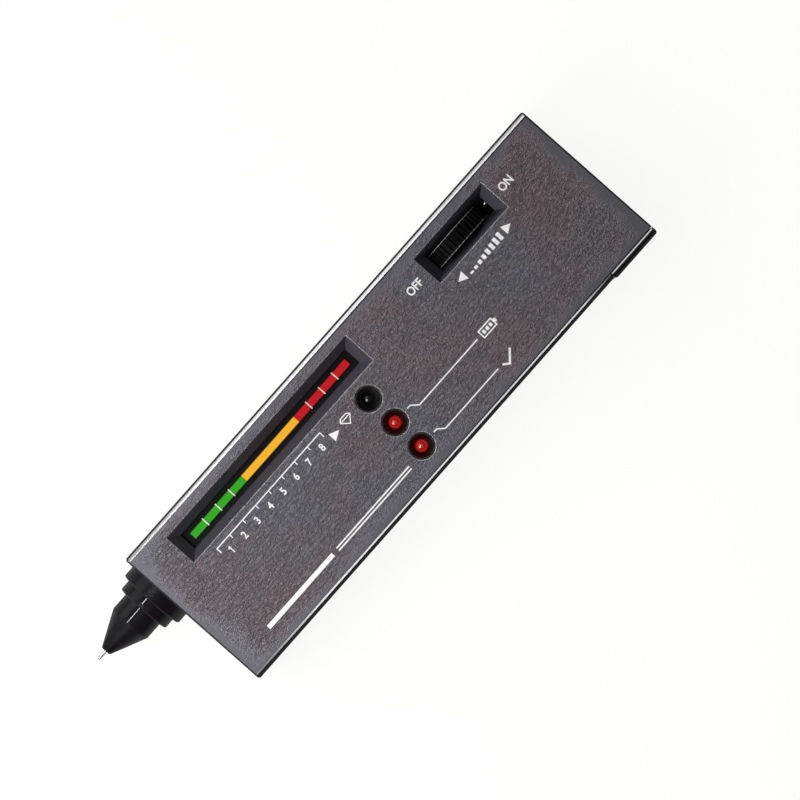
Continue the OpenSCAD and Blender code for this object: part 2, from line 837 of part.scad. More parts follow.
module door_floor_grooves() {
  z = grown(span(tongue_z, tongue_t), tongue_gap);
  reach = tongue_l + tongue_gap;
  slab([bay_x - reach, half_l + over], [-half_w + wall, partition_y0], z);
  slab([bay_x - reach, half_l + over], [0, partition_y0 - fit_gap + reach], z);
}

module rear_shell()
  color("dimgray")
    difference() {
      union() {
        difference() {
          case_block();
          inset_box(wall, [wall, ceiling]);
          inset_box(-over, [split_z - seam / 2, case_h + over]);
          door_corner(bay_x, partition_y0, [-over, case_h]);
        }
        lip_band(wall / 2 + bore_gap, [split_z - wall, split_z + lip_h]);
        slab([cross_x, bay_x], [-half_w + wall / 2, partition_y1], [wall / 2, split_z - seam / 2]);
        slab([cross_x, half_l - wall / 2], [partition_y0, partition_y1], [wall / 2, split_z - seam / 2]);
        rear_posts();
      }
      rear_screw_holes();
      nose_seat();
      door_floor_grooves();
    }

module door_tab()
  intersection() {
    along_x(tab_x, tab_l)
      intersection() {
        translate([-tab_proud, (case_h - tab_drop) / 2])
          rounded_rect([case_w, case_h - tab_drop], edge_r);
        translate([-half_w - tab_proud - over, 0])
          square([tab_y + half_w + tab_proud + over, case_h]);
      }
    translate([half_l - tab_l / 2, -half_w - tab_proud + case_w / 4, 0])
      linear_extrude(case_h)
        rounded_rect([tab_l, case_w / 2], corner_r);
  }

module battery_door()
  color("dimgray")
    difference() {
      union() {
        difference() {
          intersection() {
            case_block();
            door_corner(door_x, door_y, [-over, split_z - seam / 2]);
          }
          inset_box(wall, [wall, ceiling]);
        }
        slab(
          [door_x - tongue_l, half_l - wall],
          [-half_w + wall + tongue_gap, door_y - over],
          span(tongue_z, tongue_t)
        );
        slab([door_x - tongue_l, half_l - wall], [0, door_y + tongue_l], span(tongue_z, tongue_t));
        slab([door_x + over, tab_x + over], span(tongue_y, tongue_t), [split_z - wall, tongue_top]);
        door_tab();
      }
      for (i = [0:grip_grooves - 1])
        slab(
          span(tab_x + (i + 0.5) * grip_pitch, grip_pitch / 2),
          around(battery_y, grip_l),
          [-over, grip_depth]
        );
    }

module case_screws()
  color("silver")
    for (p = posts)
      translate([p.x, p.y, screw_seat])
        screw(screw_d, screw_l, screw_head_d, screw_head_t);

// Nose and probe

module nose_bush()
  color("black")
    nose_turned([
      [spigot_r + bore_gap, flange_t], [flange_d / 2 - nose_bevel, flange_t],
      [flange_d / 2, flange_t - nose_bevel], [flange_d / 2, 0],
      [neck_d / 2, 0], [neck_d / 2, u_flange_in],
      [inner_flange_d / 2, u_flange_in], [inner_flange_d / 2, u_tube_in],
      [tube_d / 2, u_tube_in], [tube_d / 2, u_tube_in - tube_l],
      [spigot_r + bore_gap, u_tube_in - tube_l]
    ]);

module lock_ring()
  color("black")
    nose_turned([
      [spigot_r + bore_gap, u_ring], [ring_d / 2, u_ring],
      [ring_d / 2, u_barrel - nose_bevel], [ring_d / 2 - nose_bevel, u_barrel],
      [spigot_r + bore_gap, u_barrel]
    ]);

module nose_cone()
  color("black")
    nose_turned([
      [probe_bore_d / 2, -spigot_in], [spigot_r, -spigot_in],
      [spigot_r, u_barrel], [barrel_d / 2, u_barrel],
      [barrel_d / 2, u_cone], [cone_tip_d / 2, u_tip - nose_bevel],
      [cone_tip_d / 2 - nose_bevel, u_tip], [needle_d / 2 + bore_gap, u_tip],
      [needle_d / 2 + bore_gap, u_step], [probe_bore_d / 2, u_step]
    ]);

module probe_needle()
  color("silver")
    nose_turned([
      [0, u_tip + needle_out], [needle_d / 4, u_tip + needle_out],
      [needle_d / 2, u_tip + needle_out - needle_d / 3], [needle_d / 2, u_shoulder],
      [shoulder_d / 2, u_shoulder], [shoulder_d / 2, u_heater],
      [rod_d / 2, u_heater], [rod_d / 2, u_rod_end],
      [0, u_rod_end]
    ]);

module heater_sleeve()
  color("ivory")
    nose_turned([
      [rod_d / 2 + bore_gap / 2, u_spring], [heater_d / 2, u_spring],
      [heater_d / 2, u_heater], [rod_d / 2 + bore_gap / 2, u_heater]
    ]);

module probe_spring() {
  rings = 8 * spring_turns;
  ends = [u_spring - spring_wire / 2 - bore_gap, u_plug + spring_wire / 2 + bore_gap];
  points = [
    for (i = [0:rings])
      [
        -half_l - ends[0] - (ends[1] - ends[0]) * i / rings,
        nose_y + spring_r * cos(i * 45),
        split_z + spring_r * sin(i * 45)
      ]
  ];
  echo(spring_gap = (ends[0] - ends[1]) / spring_turns - spring_wire);
  color("silver")
    swept_tube(points, [for (i = [0:rings]) [0, cos(i * 45), sin(i * 45)]], spring_wire / 2, 6);
}

module spring_plug()
  color("dimgray")
    nose_turned([
      [0, -spigot_in], [plug_r, -spigot_in],
      [plug_r, u_plug], [plug_hole_r, u_plug],
      [plug_hole_r, u_rod_stop], [0, u_rod_stop]
    ]);

module probe_leads()
  color("orange")
    for (side = [-1, 1])
      lead(probe_route(side), probe_lead_d);

// Display

function lamp_x(i) = window_mid - lamp_row / 2 + (i + 0.5) * lamp_pitch;

module bar_lamps(first)
  for (i = [first:first + lamps_per_colour - 1])
    slab(
      around(lamp_x(i), lamp_pitch - lamp_gap),
      around(wheel_y, lamp_w),
      [lamp_base, lamp_top]
    );

module green_bar_lamps()
  color("limegreen")
    bar_lamps(0);

module amber_bar_lamps()
  color("orange")
    bar_lamps(lamps_per_colour);

module red_bar_lamps()
  color("red")
    bar_lamps(2 * lamps_per_colour);

module bar_lamp_holder()
  color("black")
    difference() {
      slab(
        around(window_mid, holder_l),
        around(wheel_y, opening_w + 2 * holder_margin),
        [holder_top - holder_h, holder_top]
      );
      slab(
        around(window_mid, opening_l),
        around(wheel_y, opening_w),
        [holder_top - holder_channel, holder_top + over]
      );
      slab(
        around(window_mid, lamp_row + 2 * bore_gap),
        around(wheel_y, lamp_w + 2 * bore_gap),
        [holder_top - holder_h - over, holder_top]
      );
    }

module bar_lamp_leads()
  color("silver")
    for (i = [0:lamp_count - 1], side = [-1, 1])
      slab(
        around(lamp_x(i) + side * lead_pitch / 2, lead_t),
        around(wheel_y, lead_t),
        [board_top, lamp_base]
      );

// Indicator cups, lamps and sounder

module cup(i, hole_d, depth)
  color("black")
    translate([cup_x, cup_y(i), 0])
      rotate_extrude()
        polygon([
          [hole_d / 2, cup_base], [cup_flange_d / 2, cup_base],
          [cup_flange_d / 2, cup_seat], [cup_d / 2, cup_seat],
          [cup_d / 2, cup_top], [cup_d / 2 - cup_rim, cup_top],
          [hole_d / 2, cup_top - depth]
        ]);

module sounder_cup()
  cup(0, sound_hole_d, cup_depth + cup_flange_t);

module battery_lamp_cup()
  cup(1, dome_d + 2 * bore_gap, cup_depth);

module ready_lamp_cup()
  cup(2, dome_d + 2 * bore_gap, cup_depth);

module dome_lamp(i)
  color("red")
    translate([cup_x, cup_y(i), cup_base - dome_flange_t]) {
      cylinder(d = dome_flange_d, h = dome_flange_t);
      cylinder(d = dome_d, h = dome_flange_t + dome_h - dome_d / 2);
      translate([0, 0, dome_flange_t + dome_h - dome_d / 2])
        sphere(d = dome_d);
    }

module battery_lamp()
  dome_lamp(1);

module ready_lamp()
  dome_lamp(2);

module indicator_lamp_leads()
  color("silver")
    for (i = [1, 2], side = [-1, 1])
      slab(
        around(cup_x + side * lead_pitch / 2, lead_t),
        around(cup_y(i), lead_t),
        [board_top, cup_base - dome_flange_t]
      );

module sounder()
  color("black")
    translate([cup_x, cup_y(0), board_top])
      difference() {
        cylinder(d = sounder_d, h = cup_base - fit_gap - board_top);
        translate([0, 0, cup_base - fit_gap - board_top - over])
          cylinder(d = sound_hole_d, h = 2 * over);
      }

// Volume wheel and its control

function tooth_outline() = [
  for (i = [0:wheel_teeth - 1], p = [[0, 1], [0.2, 0], [0.55, 0], [0.75, 1]])
    let (
      a = (i + p[0]) * 360 / wheel_teeth,
      r = wheel_d / 2 - p[1] * tooth_depth
    )
      r * [cos(a), sin(a)]
];

module volume_wheel()
  color("black")
    on_wheel_axis()
      difference() {
        intersection() {
          translate([0, 0, -wheel_w / 2])
            linear_extrude(wheel_w)
              polygon(tooth_outline());
          rotate_extrude()
            polygon([
              [0, -wheel_w / 2], [wheel_d / 2 - wheel_bevel, -wheel_w / 2],
              [wheel_d / 2, wheel_bevel - wheel_w / 2], [wheel_d / 2, wheel_w / 2 - wheel_bevel],
              [wheel_d / 2 - wheel_bevel, wheel_w / 2], [0, wheel_w / 2]
            ]);
        }
        translate([0, 0, -wheel_w / 2 - over])
          cylinder(d = shaft_d + bore_gap, h = wheel_w + 2 * over);
        translate([0, 0, -wheel_w / 2 - over])
          cylinder(d = wheel_head_d + 2 * bore_gap, h = wheel_seat + wheel_w / 2 + over);
      }

module wheel_screw()
  color("silver")
    on_wheel_axis()
      translate([0, 0, wheel_seat])
        screw(wheel_screw_d, wheel_screw_l, wheel_head_d, wheel_head_t);

module volume_rotor()
  color("white")
    on_wheel_axis()
      difference() {
        union() {
          translate([0, 0, wheel_seat])
            cylinder(d = shaft_d, h = rotor_z - wheel_seat);
          translate([0, 0, rotor_z])
            cylinder(d = rotor_d, h = rotor_t);
          translate([0, 0, rotor_z])
            cylinder(d = pivot_d, h = pot_back - rotor_z - bore_gap);
          ring_sector(
            [shaft_d / 2, pot_cavity_d / 2 - run_gap],
            stop_angle + stop_free + wheel_from_off,
            lug_half,
            [rotor_z, rotor_z + rotor_t]
          );
        }
        translate([0, 0, wheel_seat - over])
          cylinder(d = wheel_screw_d + bore_gap, h = wheel_screw_l + over + bore_gap);
      }

module volume_case()
  color("dimgray") {
    on_wheel_axis() {
      difference() {
        translate([0, 0, pot_front])
          cylinder(d = pot_d, h = pot_cavity[1] - pot_front);
        translate([0, 0, pot_cavity[0]])
          cylinder(d = pot_cavity_d, h = pot_t);
        translate([0, 0, pot_front - over])
          cylinder(d = shaft_d + 2 * bore_gap, h = pot_t);
      }
      ring_sector([stop_reach, pot_d / 2 - pot_wall / 2], stop_angle, stop_half, pot_cavity);
    }
    slab(
      around(wheel_x, pot_d / 2),
      [wheel_y + pot_front, wheel_y + pot_cavity[1]],
      [board_top, wheel_z - pot_cavity_d / 2 - bore_gap]
    );
  }

module volume_cover()
  color("silver")
    on_wheel_axis()
      tube(pivot_d + 2 * bore_gap, pot_d, [pot_cavity[1], pot_back]);

module volume_terminals()
  color("silver")
    for (side = [-1, 1], reach = [0.66, 0.86])
      slab(
        around(wheel_x + side * reach * pot_d / 2, lead_t),
        around(wheel_y + (pot_front + pot_back) / 2, lead_t),
        [board_top, wheel_z - sqrt(pow(pot_d / 2, 2) - pow(reach * pot_d / 2 - lead_t / 2, 2)) - bore_gap]
      );

// Circuit board

module main_board()
  color("darkgreen")
    translate([0, 0, board_top - board_t])
      linear_extrude(board_t)
        difference() {
          union() {
            translate([board_x0, -board_half_w])
              square([board_x1 - board_x0, 2 * board_half_w]);
            translate([board_x1 - over, arm_y])
              square([arm_x - board_x1 + over, board_half_w - arm_y]);
          }
          translate([posts[1].x - post_room, -half_w])
            square([half_l, posts[1].y + post_room + half_w]);
          translate(posts[2])
            circle(post_room);
          for (p = board_posts)
            translate(p)
              circle(d = board_screw_d + 2 * fit_gap);
          translate([wheel_x - wheel_d / 2, arm_y - over])
            square([wheel_d, wheel_y + wheel_w / 2 + run_gap - arm_y + over]);
        }

module board_screws()
  color("silver")
    for (p = board_posts)
      translate([p.x, p.y, board_top - board_t])
        screw(board_screw_d, board_screw_l, board_head_d, board_head_t);

// A chip with two rows of legs
module chip(at, length) {
  body_z = board_top + chip_lift;
  slab(around(at.x, length), around(at.y, chip_w), span(body_z, chip_h));
  for (x = [-length / 2 + lead_pitch / 2:lead_pitch:length / 2 - lead_pitch / 2], side = [-1, 1])
    slab(
      around(at.x + x, lead_t),
      around(at.y + side * (chip_w / 2 + lead_t / 4), lead_t),
      [board_top, body_z + chip_h / 2]
    );
}

module bar_driver_chip()
  color("black")
    chip(driver_at, driver_l);

module amplifier_chip()
  color("black")
    chip(amplifier_at, amplifier_l);

module trimmer_body()
  color("royalblue")
    translate([trimmer_at.x, trimmer_at.y, board_top])
      difference() {
        translate([-trimmer_side / 2, -trimmer_side / 2, 0])
          cube([trimmer_side, trimmer_side, trimmer_h]);
        translate([0, 0, trimmer_h - trimmer_screw_t])
          cylinder(d = trimmer_screw_d + 2 * bore_gap, h = trimmer_screw_t + over);
      }

module trimmer_screw()
  color("white")
    translate([trimmer_at.x, trimmer_at.y, board_top + trimmer_h - trimmer_screw_t + bore_gap])
      difference() {
        cylinder(d = trimmer_screw_d, h = trimmer_screw_t);
        translate([-trimmer_screw_d, -lead_t / 2, trimmer_screw_t / 2])
          cube([2 * trimmer_screw_d, lead_t, trimmer_screw_t]);
      }

module capacitors()
  color("midnightblue")
    for (p = capacitor_at)
      translate([p.x, p.y, board_top])
        cylinder(d = capacitor_d, h = capacitor_h);

module resistors()
  color("tan")
    for (p = resistor_at)
      translate([p.x, p.y, board_top]) {
        z = resistor_d / 2 + bore_gap;
        translate([-resistor_l / 2, 0, z])
          rotate([0, 90, 0])
            cylinder(d = resistor_d, h = resistor_l);
        for (side = [-1, 1])
          slab(
            around(side * (resistor_l / 2 + lead_t / 4), lead_t),
            around(0, lead_t),
            [0, z + lead_t / 2]
          );
      }

module transistors()
  color("black")
    for (p = transistor_at)
      translate([p.x, p.y, board_top]) {
        leg_h = transistor_h / 3;
        translate([0, 0, leg_h])
          difference() {
            cylinder(d = transistor_d, h = transistor_h);
            translate([-transistor_d, transistor_d / 4, -over])
              cube([2 * transistor_d, transistor_d, transistor_h + 2 * over]);
          }
        for (x = [-1, 0, 1])
          slab(
            around(x * transistor_d / 4, lead_t),
            around(0, lead_t),
            [0, leg_h + lead_t]
          );
      }

// Battery

module battery_block()
  color("goldenrod")
    along_x(battery_x, battery_l)
      translate([battery_y, battery_z])
        rounded_rect([battery_w, battery_h], battery_r);

module terminal(side, d)
  translate([battery_x - terminal_h, battery_y + side * terminal_pitch / 2, battery_z])
    rotate([0, 90, 0])
      cylinder(d = d, h = terminal_h);

module battery_terminals()
  color("silver") {
    terminal(-1, stud_d);
    terminal(1, socket_d);
  }

module battery_pad()
  color("gray")
    slab(
      around(battery_mid_x, pad_l),
      around(battery_y, pad_w),
      [ceiling - pad_t, ceiling]
    );

module snap_hole(side, d)
  translate([snap_x1 - terminal_h, battery_y + side * terminal_pitch / 2, battery_z])
    rotate([0, 90, 0])
      cylinder(d = d + 2 * bore_gap, h = terminal_h + over);

module battery_snap()
  color("black")
    difference() {
      along_x(snap_x0, snap_t)
        translate([battery_y, battery_z])
          rounded_rect([snap_w, snap_h], battery_r);
      snap_hole(-1, stud_d);
      snap_hole(1, socket_d);
    }

module red_lead()
  color("red")
    lead(battery_route(battery_y - terminal_pitch / 2), battery_lead_d);

module black_lead()
  color("black")
    lead(battery_route(battery_y + terminal_pitch / 2), battery_lead_d);

front_shell();
rear_shell();
battery_door();
case_screws();
nose_bush();
lock_ring();
nose_cone();
probe_needle();
heater_sleeve();
probe_spring();
spring_plug();
probe_leads();
green_bar_lamps();
amber_bar_lamps();
red_bar_lamps();
bar_lamp_holder();
bar_lamp_leads();
sounder_cup();
battery_lamp_cup();
ready_lamp_cup();
battery_lamp();
ready_lamp();
indicator_lamp_leads();
sounder();
volume_wheel();
wheel_screw();
volume_rotor();
volume_case();
volume_cover();
volume_terminals();
main_board();
board_screws();
bar_driver_chip();
amplifier_chip();
trimmer_body();
trimmer_screw();
capacitors();
resistors();
transistors();
battery_block();
battery_terminals();
battery_pad();
battery_snap();
red_lead();
black_lead();
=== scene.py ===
# %% [markdown]
# # A handheld gemstone tester
# The object is a slim grey case with a black nose, a row of bar lamps in a sunk window, three small
# cups and a thumbwheel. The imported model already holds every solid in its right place. This lesson
# dresses it: each solid gets a finish made of shader nodes, and the thin things that no solid shows,
# such as printed marks, are added as pieces that ride on the same bodies.

import math

import bmesh
import bpy
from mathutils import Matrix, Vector


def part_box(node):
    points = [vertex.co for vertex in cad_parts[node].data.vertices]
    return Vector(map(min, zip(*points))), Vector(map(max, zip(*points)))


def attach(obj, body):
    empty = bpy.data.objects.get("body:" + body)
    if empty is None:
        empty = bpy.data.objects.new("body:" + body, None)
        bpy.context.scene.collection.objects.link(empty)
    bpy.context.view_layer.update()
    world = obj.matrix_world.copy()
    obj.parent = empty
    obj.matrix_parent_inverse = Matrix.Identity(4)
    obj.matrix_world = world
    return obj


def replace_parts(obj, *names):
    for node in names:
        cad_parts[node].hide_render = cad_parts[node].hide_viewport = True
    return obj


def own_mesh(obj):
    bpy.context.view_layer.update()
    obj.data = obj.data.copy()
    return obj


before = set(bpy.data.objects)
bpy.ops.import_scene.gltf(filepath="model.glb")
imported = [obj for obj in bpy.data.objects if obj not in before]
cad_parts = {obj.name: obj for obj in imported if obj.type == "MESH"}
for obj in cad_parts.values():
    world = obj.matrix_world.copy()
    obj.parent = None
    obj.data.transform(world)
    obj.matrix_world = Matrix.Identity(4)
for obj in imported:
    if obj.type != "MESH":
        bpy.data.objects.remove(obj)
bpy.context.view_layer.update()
MM = 0.001
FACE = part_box("front_shell")[1].z
print("nodes:", len(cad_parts), "face at", round(FACE / MM, 2), "mm")

# %% [markdown]
# ## Camera
# The photograph looks straight down on the face through a long lens, with the case turned in the
# frame. A long lens keeps the walls of the window and of the recess almost upright in the picture.
# The distance follows from the lens and from how many millimetres the frame holds.

# %% Place the camera
FRAME_MM = 180.2
LENS_MM = 200
SENSOR_MM = 36
AIM_MM = (0.6, -2.3)
TURN_DEG = -48.5
camera_data = bpy.data.cameras.new("camera")
camera_data.lens = LENS_MM
camera_data.sensor_width = SENSOR_MM
camera = bpy.data.objects.new("camera", camera_data)
camera.location = (AIM_MM[0] * MM, AIM_MM[1] * MM, FACE + FRAME_MM * MM * LENS_MM / SENSOR_MM)
camera.rotation_euler = (0, 0, math.radians(TURN_DEG))
bpy.context.scene.collection.objects.link(camera)
bpy.context.scene.camera = camera
print("camera height:", round(camera.location.z, 3), "m")

# %% [markdown]
# ## Shader maths as expressions
# A finish is a graph of nodes, and long graphs are hard to read as lists of links. Two small classes
# help: a Wire wraps one output socket, so that `1 - mask` adds a Math node, and a Finish makes any
# other node from its type, its settings and what goes into its sockets.

# %% Define wires and finishes
class Wire:
    """One output socket of a finish, with arithmetic that adds Math nodes."""

    def __init__(self, finish, socket):
        self.finish = finish
        self.socket = socket

    def math(self, operation, left, right):
        return self.finish.node("ShaderNodeMath", {"operation": operation}, {0: left, 1: right})

    def __add__(self, other):
        return self.math("ADD", self, other)

    def __radd__(self, other):
        return self.math("ADD", other, self)

    def __sub__(self, other):
        return self.math("SUBTRACT", self, other)

    def __rsub__(self, other):
        return self.math("SUBTRACT", other, self)

    def __mul__(self, other):
        return self.math("MULTIPLY", self, other)

    def __rmul__(self, other):
        return self.math("MULTIPLY", other, self)

    def __pow__(self, other):
        return self.math("POWER", self, other)


class Finish:
    """A material whose constants are set on its shader and whose nodes are written as expressions."""

    def __init__(self, name, **constants):
        self.material = bpy.data.materials.new(name)
        self.material.use_nodes = True
        self.tree = self.material.node_tree
        self.shader = self.tree.nodes["Principled BSDF"]
        for socket, value in constants.items():
            self.set(socket.replace("_", " "), value)

    def node(self, kind, settings=None, sockets=None, out=0):
        made = self.tree.nodes.new(kind)
        for name, value in (settings or {}).items():
            if name == "stops":
                for i, (at, colour) in enumerate(value):
                    stop = made.color_ramp.elements[i] if i < 2 else made.color_ramp.elements.new(at)
                    stop.position = at
                    stop.color = colour
            else:
                setattr(made, name, value)
        for name, value in (sockets or {}).items():
            self.feed(made.inputs[name], value)
        return Wire(self, made.outputs[out])

    def feed(self, socket, value):
        if isinstance(value, Wire):
            self.tree.links.new(value.socket, socket)
        else:
            socket.default_value = value

    def set(self, socket, value):
        self.feed(self.shader.inputs[socket], value)


print("classes:", Wire.__name__, Finish.__name__)

# %% [markdown]
# A few functions name what the finishes below keep asking for: a colour, a place on the object, noise, a
# range, an edge and a bump.

# %% Name the common nodes
def srgb(red, green, blue):
    """A colour as picture programs write it, from 0 to 255, as the linear values that Blender mixes."""
    parts = [c / 255 for c in (red, green, blue)]
    return tuple(c / 12.92 if c <= 0.04045 else ((c + 0.055) / 1.055) ** 2.4 for c in parts) + (1.0,)


def mix(factor, a, b):
    """A colour between a and b; the factor is the Wire that decides."""
    return factor.finish.node("ShaderNodeMix", {"data_type": "RGBA"}, {0: factor, 6: a, 7: b}, out=2)


def mix_ways(factor, a, b):
    """A direction between a and b."""
    return factor.finish.node("ShaderNodeMix", {"data_type": "VECTOR"}, {0: factor, 4: a, 5: b}, out=1)


def scaled(vector, amount):
    """A vector made longer or shorter, or a colour made lighter or darker."""
    return vector.finish.node("ShaderNodeVectorMath", {"operation": "SCALE"}, {0: vector, "Scale": amount})


def millimetres(finish):
    """The place on the object in millimetres, which moves with the piece."""
    return scaled(finish.node("ShaderNodeTexCoord", out="Object"), 1 / MM)


def stretched(place, along):
    """The same place with each axis multiplied, so that a pattern runs longer along the smaller one."""
    return place.finish.node("ShaderNodeVectorMath", {"operation": "MULTIPLY"}, {0: place, 1: along})


def noise(place, per_mm, detail=2.0, roughness=0.5, distortion=0.0):
    """Cloudy noise from 0 to 1 with this many lumps per millimetre."""
    return place.finish.node("ShaderNodeTexNoise", {}, {
        "Vector": place, "Scale": per_mm, "Detail": detail, "Roughness": roughness, "Distortion": distortion})


def between(value, low, high, from_low=0.0, from_high=1.0):
    """A value moved from one range to another and kept inside it."""
    return value.finish.node("ShaderNodeMapRange", {}, {
        "Value": value, "From Min": from_low, "From Max": from_high, "To Min": low, "To Max": high})


def axis_of(vector, axis):
    """One of a vector's three parts, named X, Y or Z."""
    return vector.finish.node("ShaderNodeSeparateXYZ", {}, {0: vector}, out=axis)


def plain_way(finish):
    """The surface's own direction."""
    return finish.node("ShaderNodeNewGeometry", out="Normal")


def softened(finish, radius_mm):
    """The surface's direction with its sharp edges rounded to this radius."""
    return finish.node("ShaderNodeBevel", {"samples": 4}, {"Radius": radius_mm * MM})


def edges(soft):
    """Near 1 on the sharp edges that a softened direction rounds, and 0 on flat ground."""
    match = soft.finish.node("ShaderNodeVectorMath", {"operation": "DOT_PRODUCT"}, {
        0: soft, 1: plain_way(soft.finish)}, out="Value")
    return between(match, 1.0, 0.0, 0.9, 0.997)


def relief(height, depth_mm, under=None):
    """A bump of this depth from a height between 0 and 1, on top of another direction if one is given."""
    sockets = {"Height": height, "Distance": depth_mm * MM, "Strength": 1.0}
    if under is not None:
        sockets["Normal"] = under
    return height.finish.node("ShaderNodeBump", {}, sockets)


print("shader words ready")

# %% [markdown]
# ## Floor and light
# The object lies on a plain white floor. The camera sees the floor as nearly pure white, as the
# photograph does, and a share of real diffuse stays in it, so the case keeps a soft shadow. Mixing a glow
# and a plain white by the kind of ray does both with one material.

# %% Make the floor
FLOOR_HALF = 3.0
FLOOR_GLOW = 0.88
floor_mesh = bpy.data.meshes.new("floor")
corners = [(x * FLOOR_HALF, y * FLOOR_HALF, -0.05 * MM) for x, y in ((-1, -1), (1, -1), (1, 1), (-1, 1))]
floor_mesh.from_pydata(corners, [], [(0, 1, 2, 3)])
floor = bpy.data.objects.new("floor", floor_mesh)
bpy.context.scene.collection.objects.link(floor)


def floor_finish():
    finish = Finish("white_floor", Base_Color=(0.8, 0.8, 0.795, 1.0), Roughness=0.9)
    rays = [finish.node("ShaderNodeLightPath", out=name)
            for name in ("Is Camera Ray", "Is Glossy Ray", "Is Transmission Ray")]
    seen = between(rays[0] + rays[1] + rays[2], 0.0, FLOOR_GLOW)
    glow = finish.node("ShaderNodeEmission", {}, {"Color": (1.0, 1.0, 0.99, 1.0), "Strength": 1.04})
    shown = finish.node("ShaderNodeMixShader", {}, {
        0: seen, 1: Wire(finish, finish.shader.outputs[0]), 2: glow})
    finish.feed(finish.tree.nodes["Material Output"].inputs["Surface"], shown)
    return finish.material


floor_mesh.materials.append(floor_finish())
print("floor:", 2 * FLOOR_HALF, "m wide")

# %% [markdown]
# The light comes from the display edge. One large soft box there draws the bright strip along that edge, a
# smaller one above the nose makes that end lighter, and a thin strip overhead draws a line on round forms.
# Area lamps suit this, because their shape is what shows in a satin surface.

# %% Hang the lamps
def soft_box(name, at, width, height, radiance):
    """A rectangular lamp aimed at the middle of the case; radiance is how bright its surface looks."""
    data = bpy.data.lights.new(name, "AREA")
    data.shape = "RECTANGLE"
    data.size, data.size_y = width, height
    data.energy = radiance * math.pi * width * height
    lamp = bpy.data.objects.new(name, data)
    lamp.location = at
    lamp.rotation_euler = (Vector((0, 0, FACE)) - Vector(at)).to_track_quat("-Z", "Y").to_euler()
    bpy.context.scene.collection.objects.link(lamp)
    return lamp


soft_box("display_edge_box", (-0.26, 0.58, 0.42), 0.75, 0.50, 2.9)
soft_box("nose_box", (-0.20, 0.03, 0.22), 0.16, 0.16, 7.0)
soft_box("overhead_strip", (-0.14, 0.16, 0.64), 0.40, 0.014, 52.0)
world = bpy.data.worlds.new("room")
world.use_nodes = True
world.node_tree.nodes["Background"].inputs["Color"].default_value = (1, 1, 1, 1)
world.node_tree.nodes["Background"].inputs["Strength"].default_value = 0.1
bpy.context.scene.world = world
bpy.context.scene.view_settings.view_transform = "Standard"

# %% [markdown]
# ## Case finish
# The case is moulded in grey plastic with a satin, slightly metallic paint and a fine leather-like grain
# of wavy ridges, about a millimetre apart. The grain is a bump, because it is far too fine to be worth
# geometry. It lies where noise crosses its middle value, stretched along the case.

# %% Define the grain
def size_of(value):
    """The value without its sign."""
    return value.math("ABSOLUTE", value, 0.0)


def larger(a, b):
    """The larger of two values, which joins two masks."""
    return a.math("MAXIMUM", a, b)


def close_to(value, at, inner, outer):
    """1 within the inner distance of a place, falling to 0 at the outer one."""
    return between((value - at) ** 2.0, 1.0, 0.0, inner ** 2, outer ** 2)


def leather_grain(place):
    """The height of wavy ridges, from 0 to 1."""
    folds = noise(stretched(place, (0.45, 1.25, 1.25)), 1.2, detail=3.0, roughness=0.6, distortion=0.6)
    ridges = between(size_of(folds - 0.5), 1.0, 0.0, 0.0, 0.13)
    pits = noise(place, 3.6, detail=2.0)
    return ridges * 0.7 + pits * 0.3


print("grain ready")

# %% [markdown]
# How a spot on the case looks depends on where it lies and which way it faces. Masks from 0 to 1 say so:
# whether the spot lies level, is on the rounding of a long edge at the face, or is on the side away from
# the display. One material with masks keeps the grain running on from the face to the sides.

# %% Read places on the case
EDGE_R_MM = 1.2
END_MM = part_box("front_shell")[1].x / MM
EDGE_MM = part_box("front_shell")[1].y / MM - EDGE_R_MM
paint = Finish("case_paint", Specular_IOR_Level=0.2)
spot, plain, soft = millimetres(paint), plain_way(paint), softened(paint, 0.32)
station, side, depth = axis_of(spot, "X"), axis_of(spot, "Y"), FACE / MM - axis_of(spot, "Z")
along, across = size_of(station), size_of(side)
level, leaning = size_of(axis_of(plain, "Z")), size_of(axis_of(plain, "Y"))
squareness = larger(larger(size_of(axis_of(plain, "X")), leaning), level)
lying = between(level, 0.0, 1.0, 0.72, 0.85)
at_face = between(depth, 1.0, 0.0, 1.5, 2.0)
flank = between(across, 0.0, 1.0, EDGE_MM, EDGE_MM + 0.2)
rounding = flank * at_face
away = between(side, 1.0, 0.0, -1.0, 1.0)
print("long edges begin at", round(EDGE_MM, 2), "mm and the ends are at", round(END_MM, 2), "mm")

# %% [markdown]
# The grain covers the flat sides and the face. On the face it fades out unevenly, a few millimetres before
# the edges, because a slow noise shifts the distance. The walls of the sunk openings have none.

# %% Spread the grain
FADE_MM, WANDER_MM = 4.0, 9.0
WALL_Y_MM = 17.4
wander = noise(spot, 0.11, detail=3.0, roughness=0.6)
to_edge = station.math("MINIMUM", EDGE_MM - across, END_MM - 1.5 - along) + (wander - 0.5) * WANDER_MM
inner = between(to_edge, 0.0, 1.0, -0.2, FADE_MM) * between(across, 1.0, 0.0, EDGE_MM - 0.8, EDGE_MM)
grained = larger(inner, 1 - lying)
walls = (1 - lying) * between(across, 1.0, 0.0, WALL_Y_MM, WALL_Y_MM + 0.5)
walls = walls * between(along, 1.0, 0.0, END_MM - 3.5, END_MM - 2.5)
flat = between(squareness, 0.0, 1.0, 0.985, 0.998) * grained * (1 - walls)
grain = leather_grain(spot)
print("grain fades over", FADE_MM, "mm")
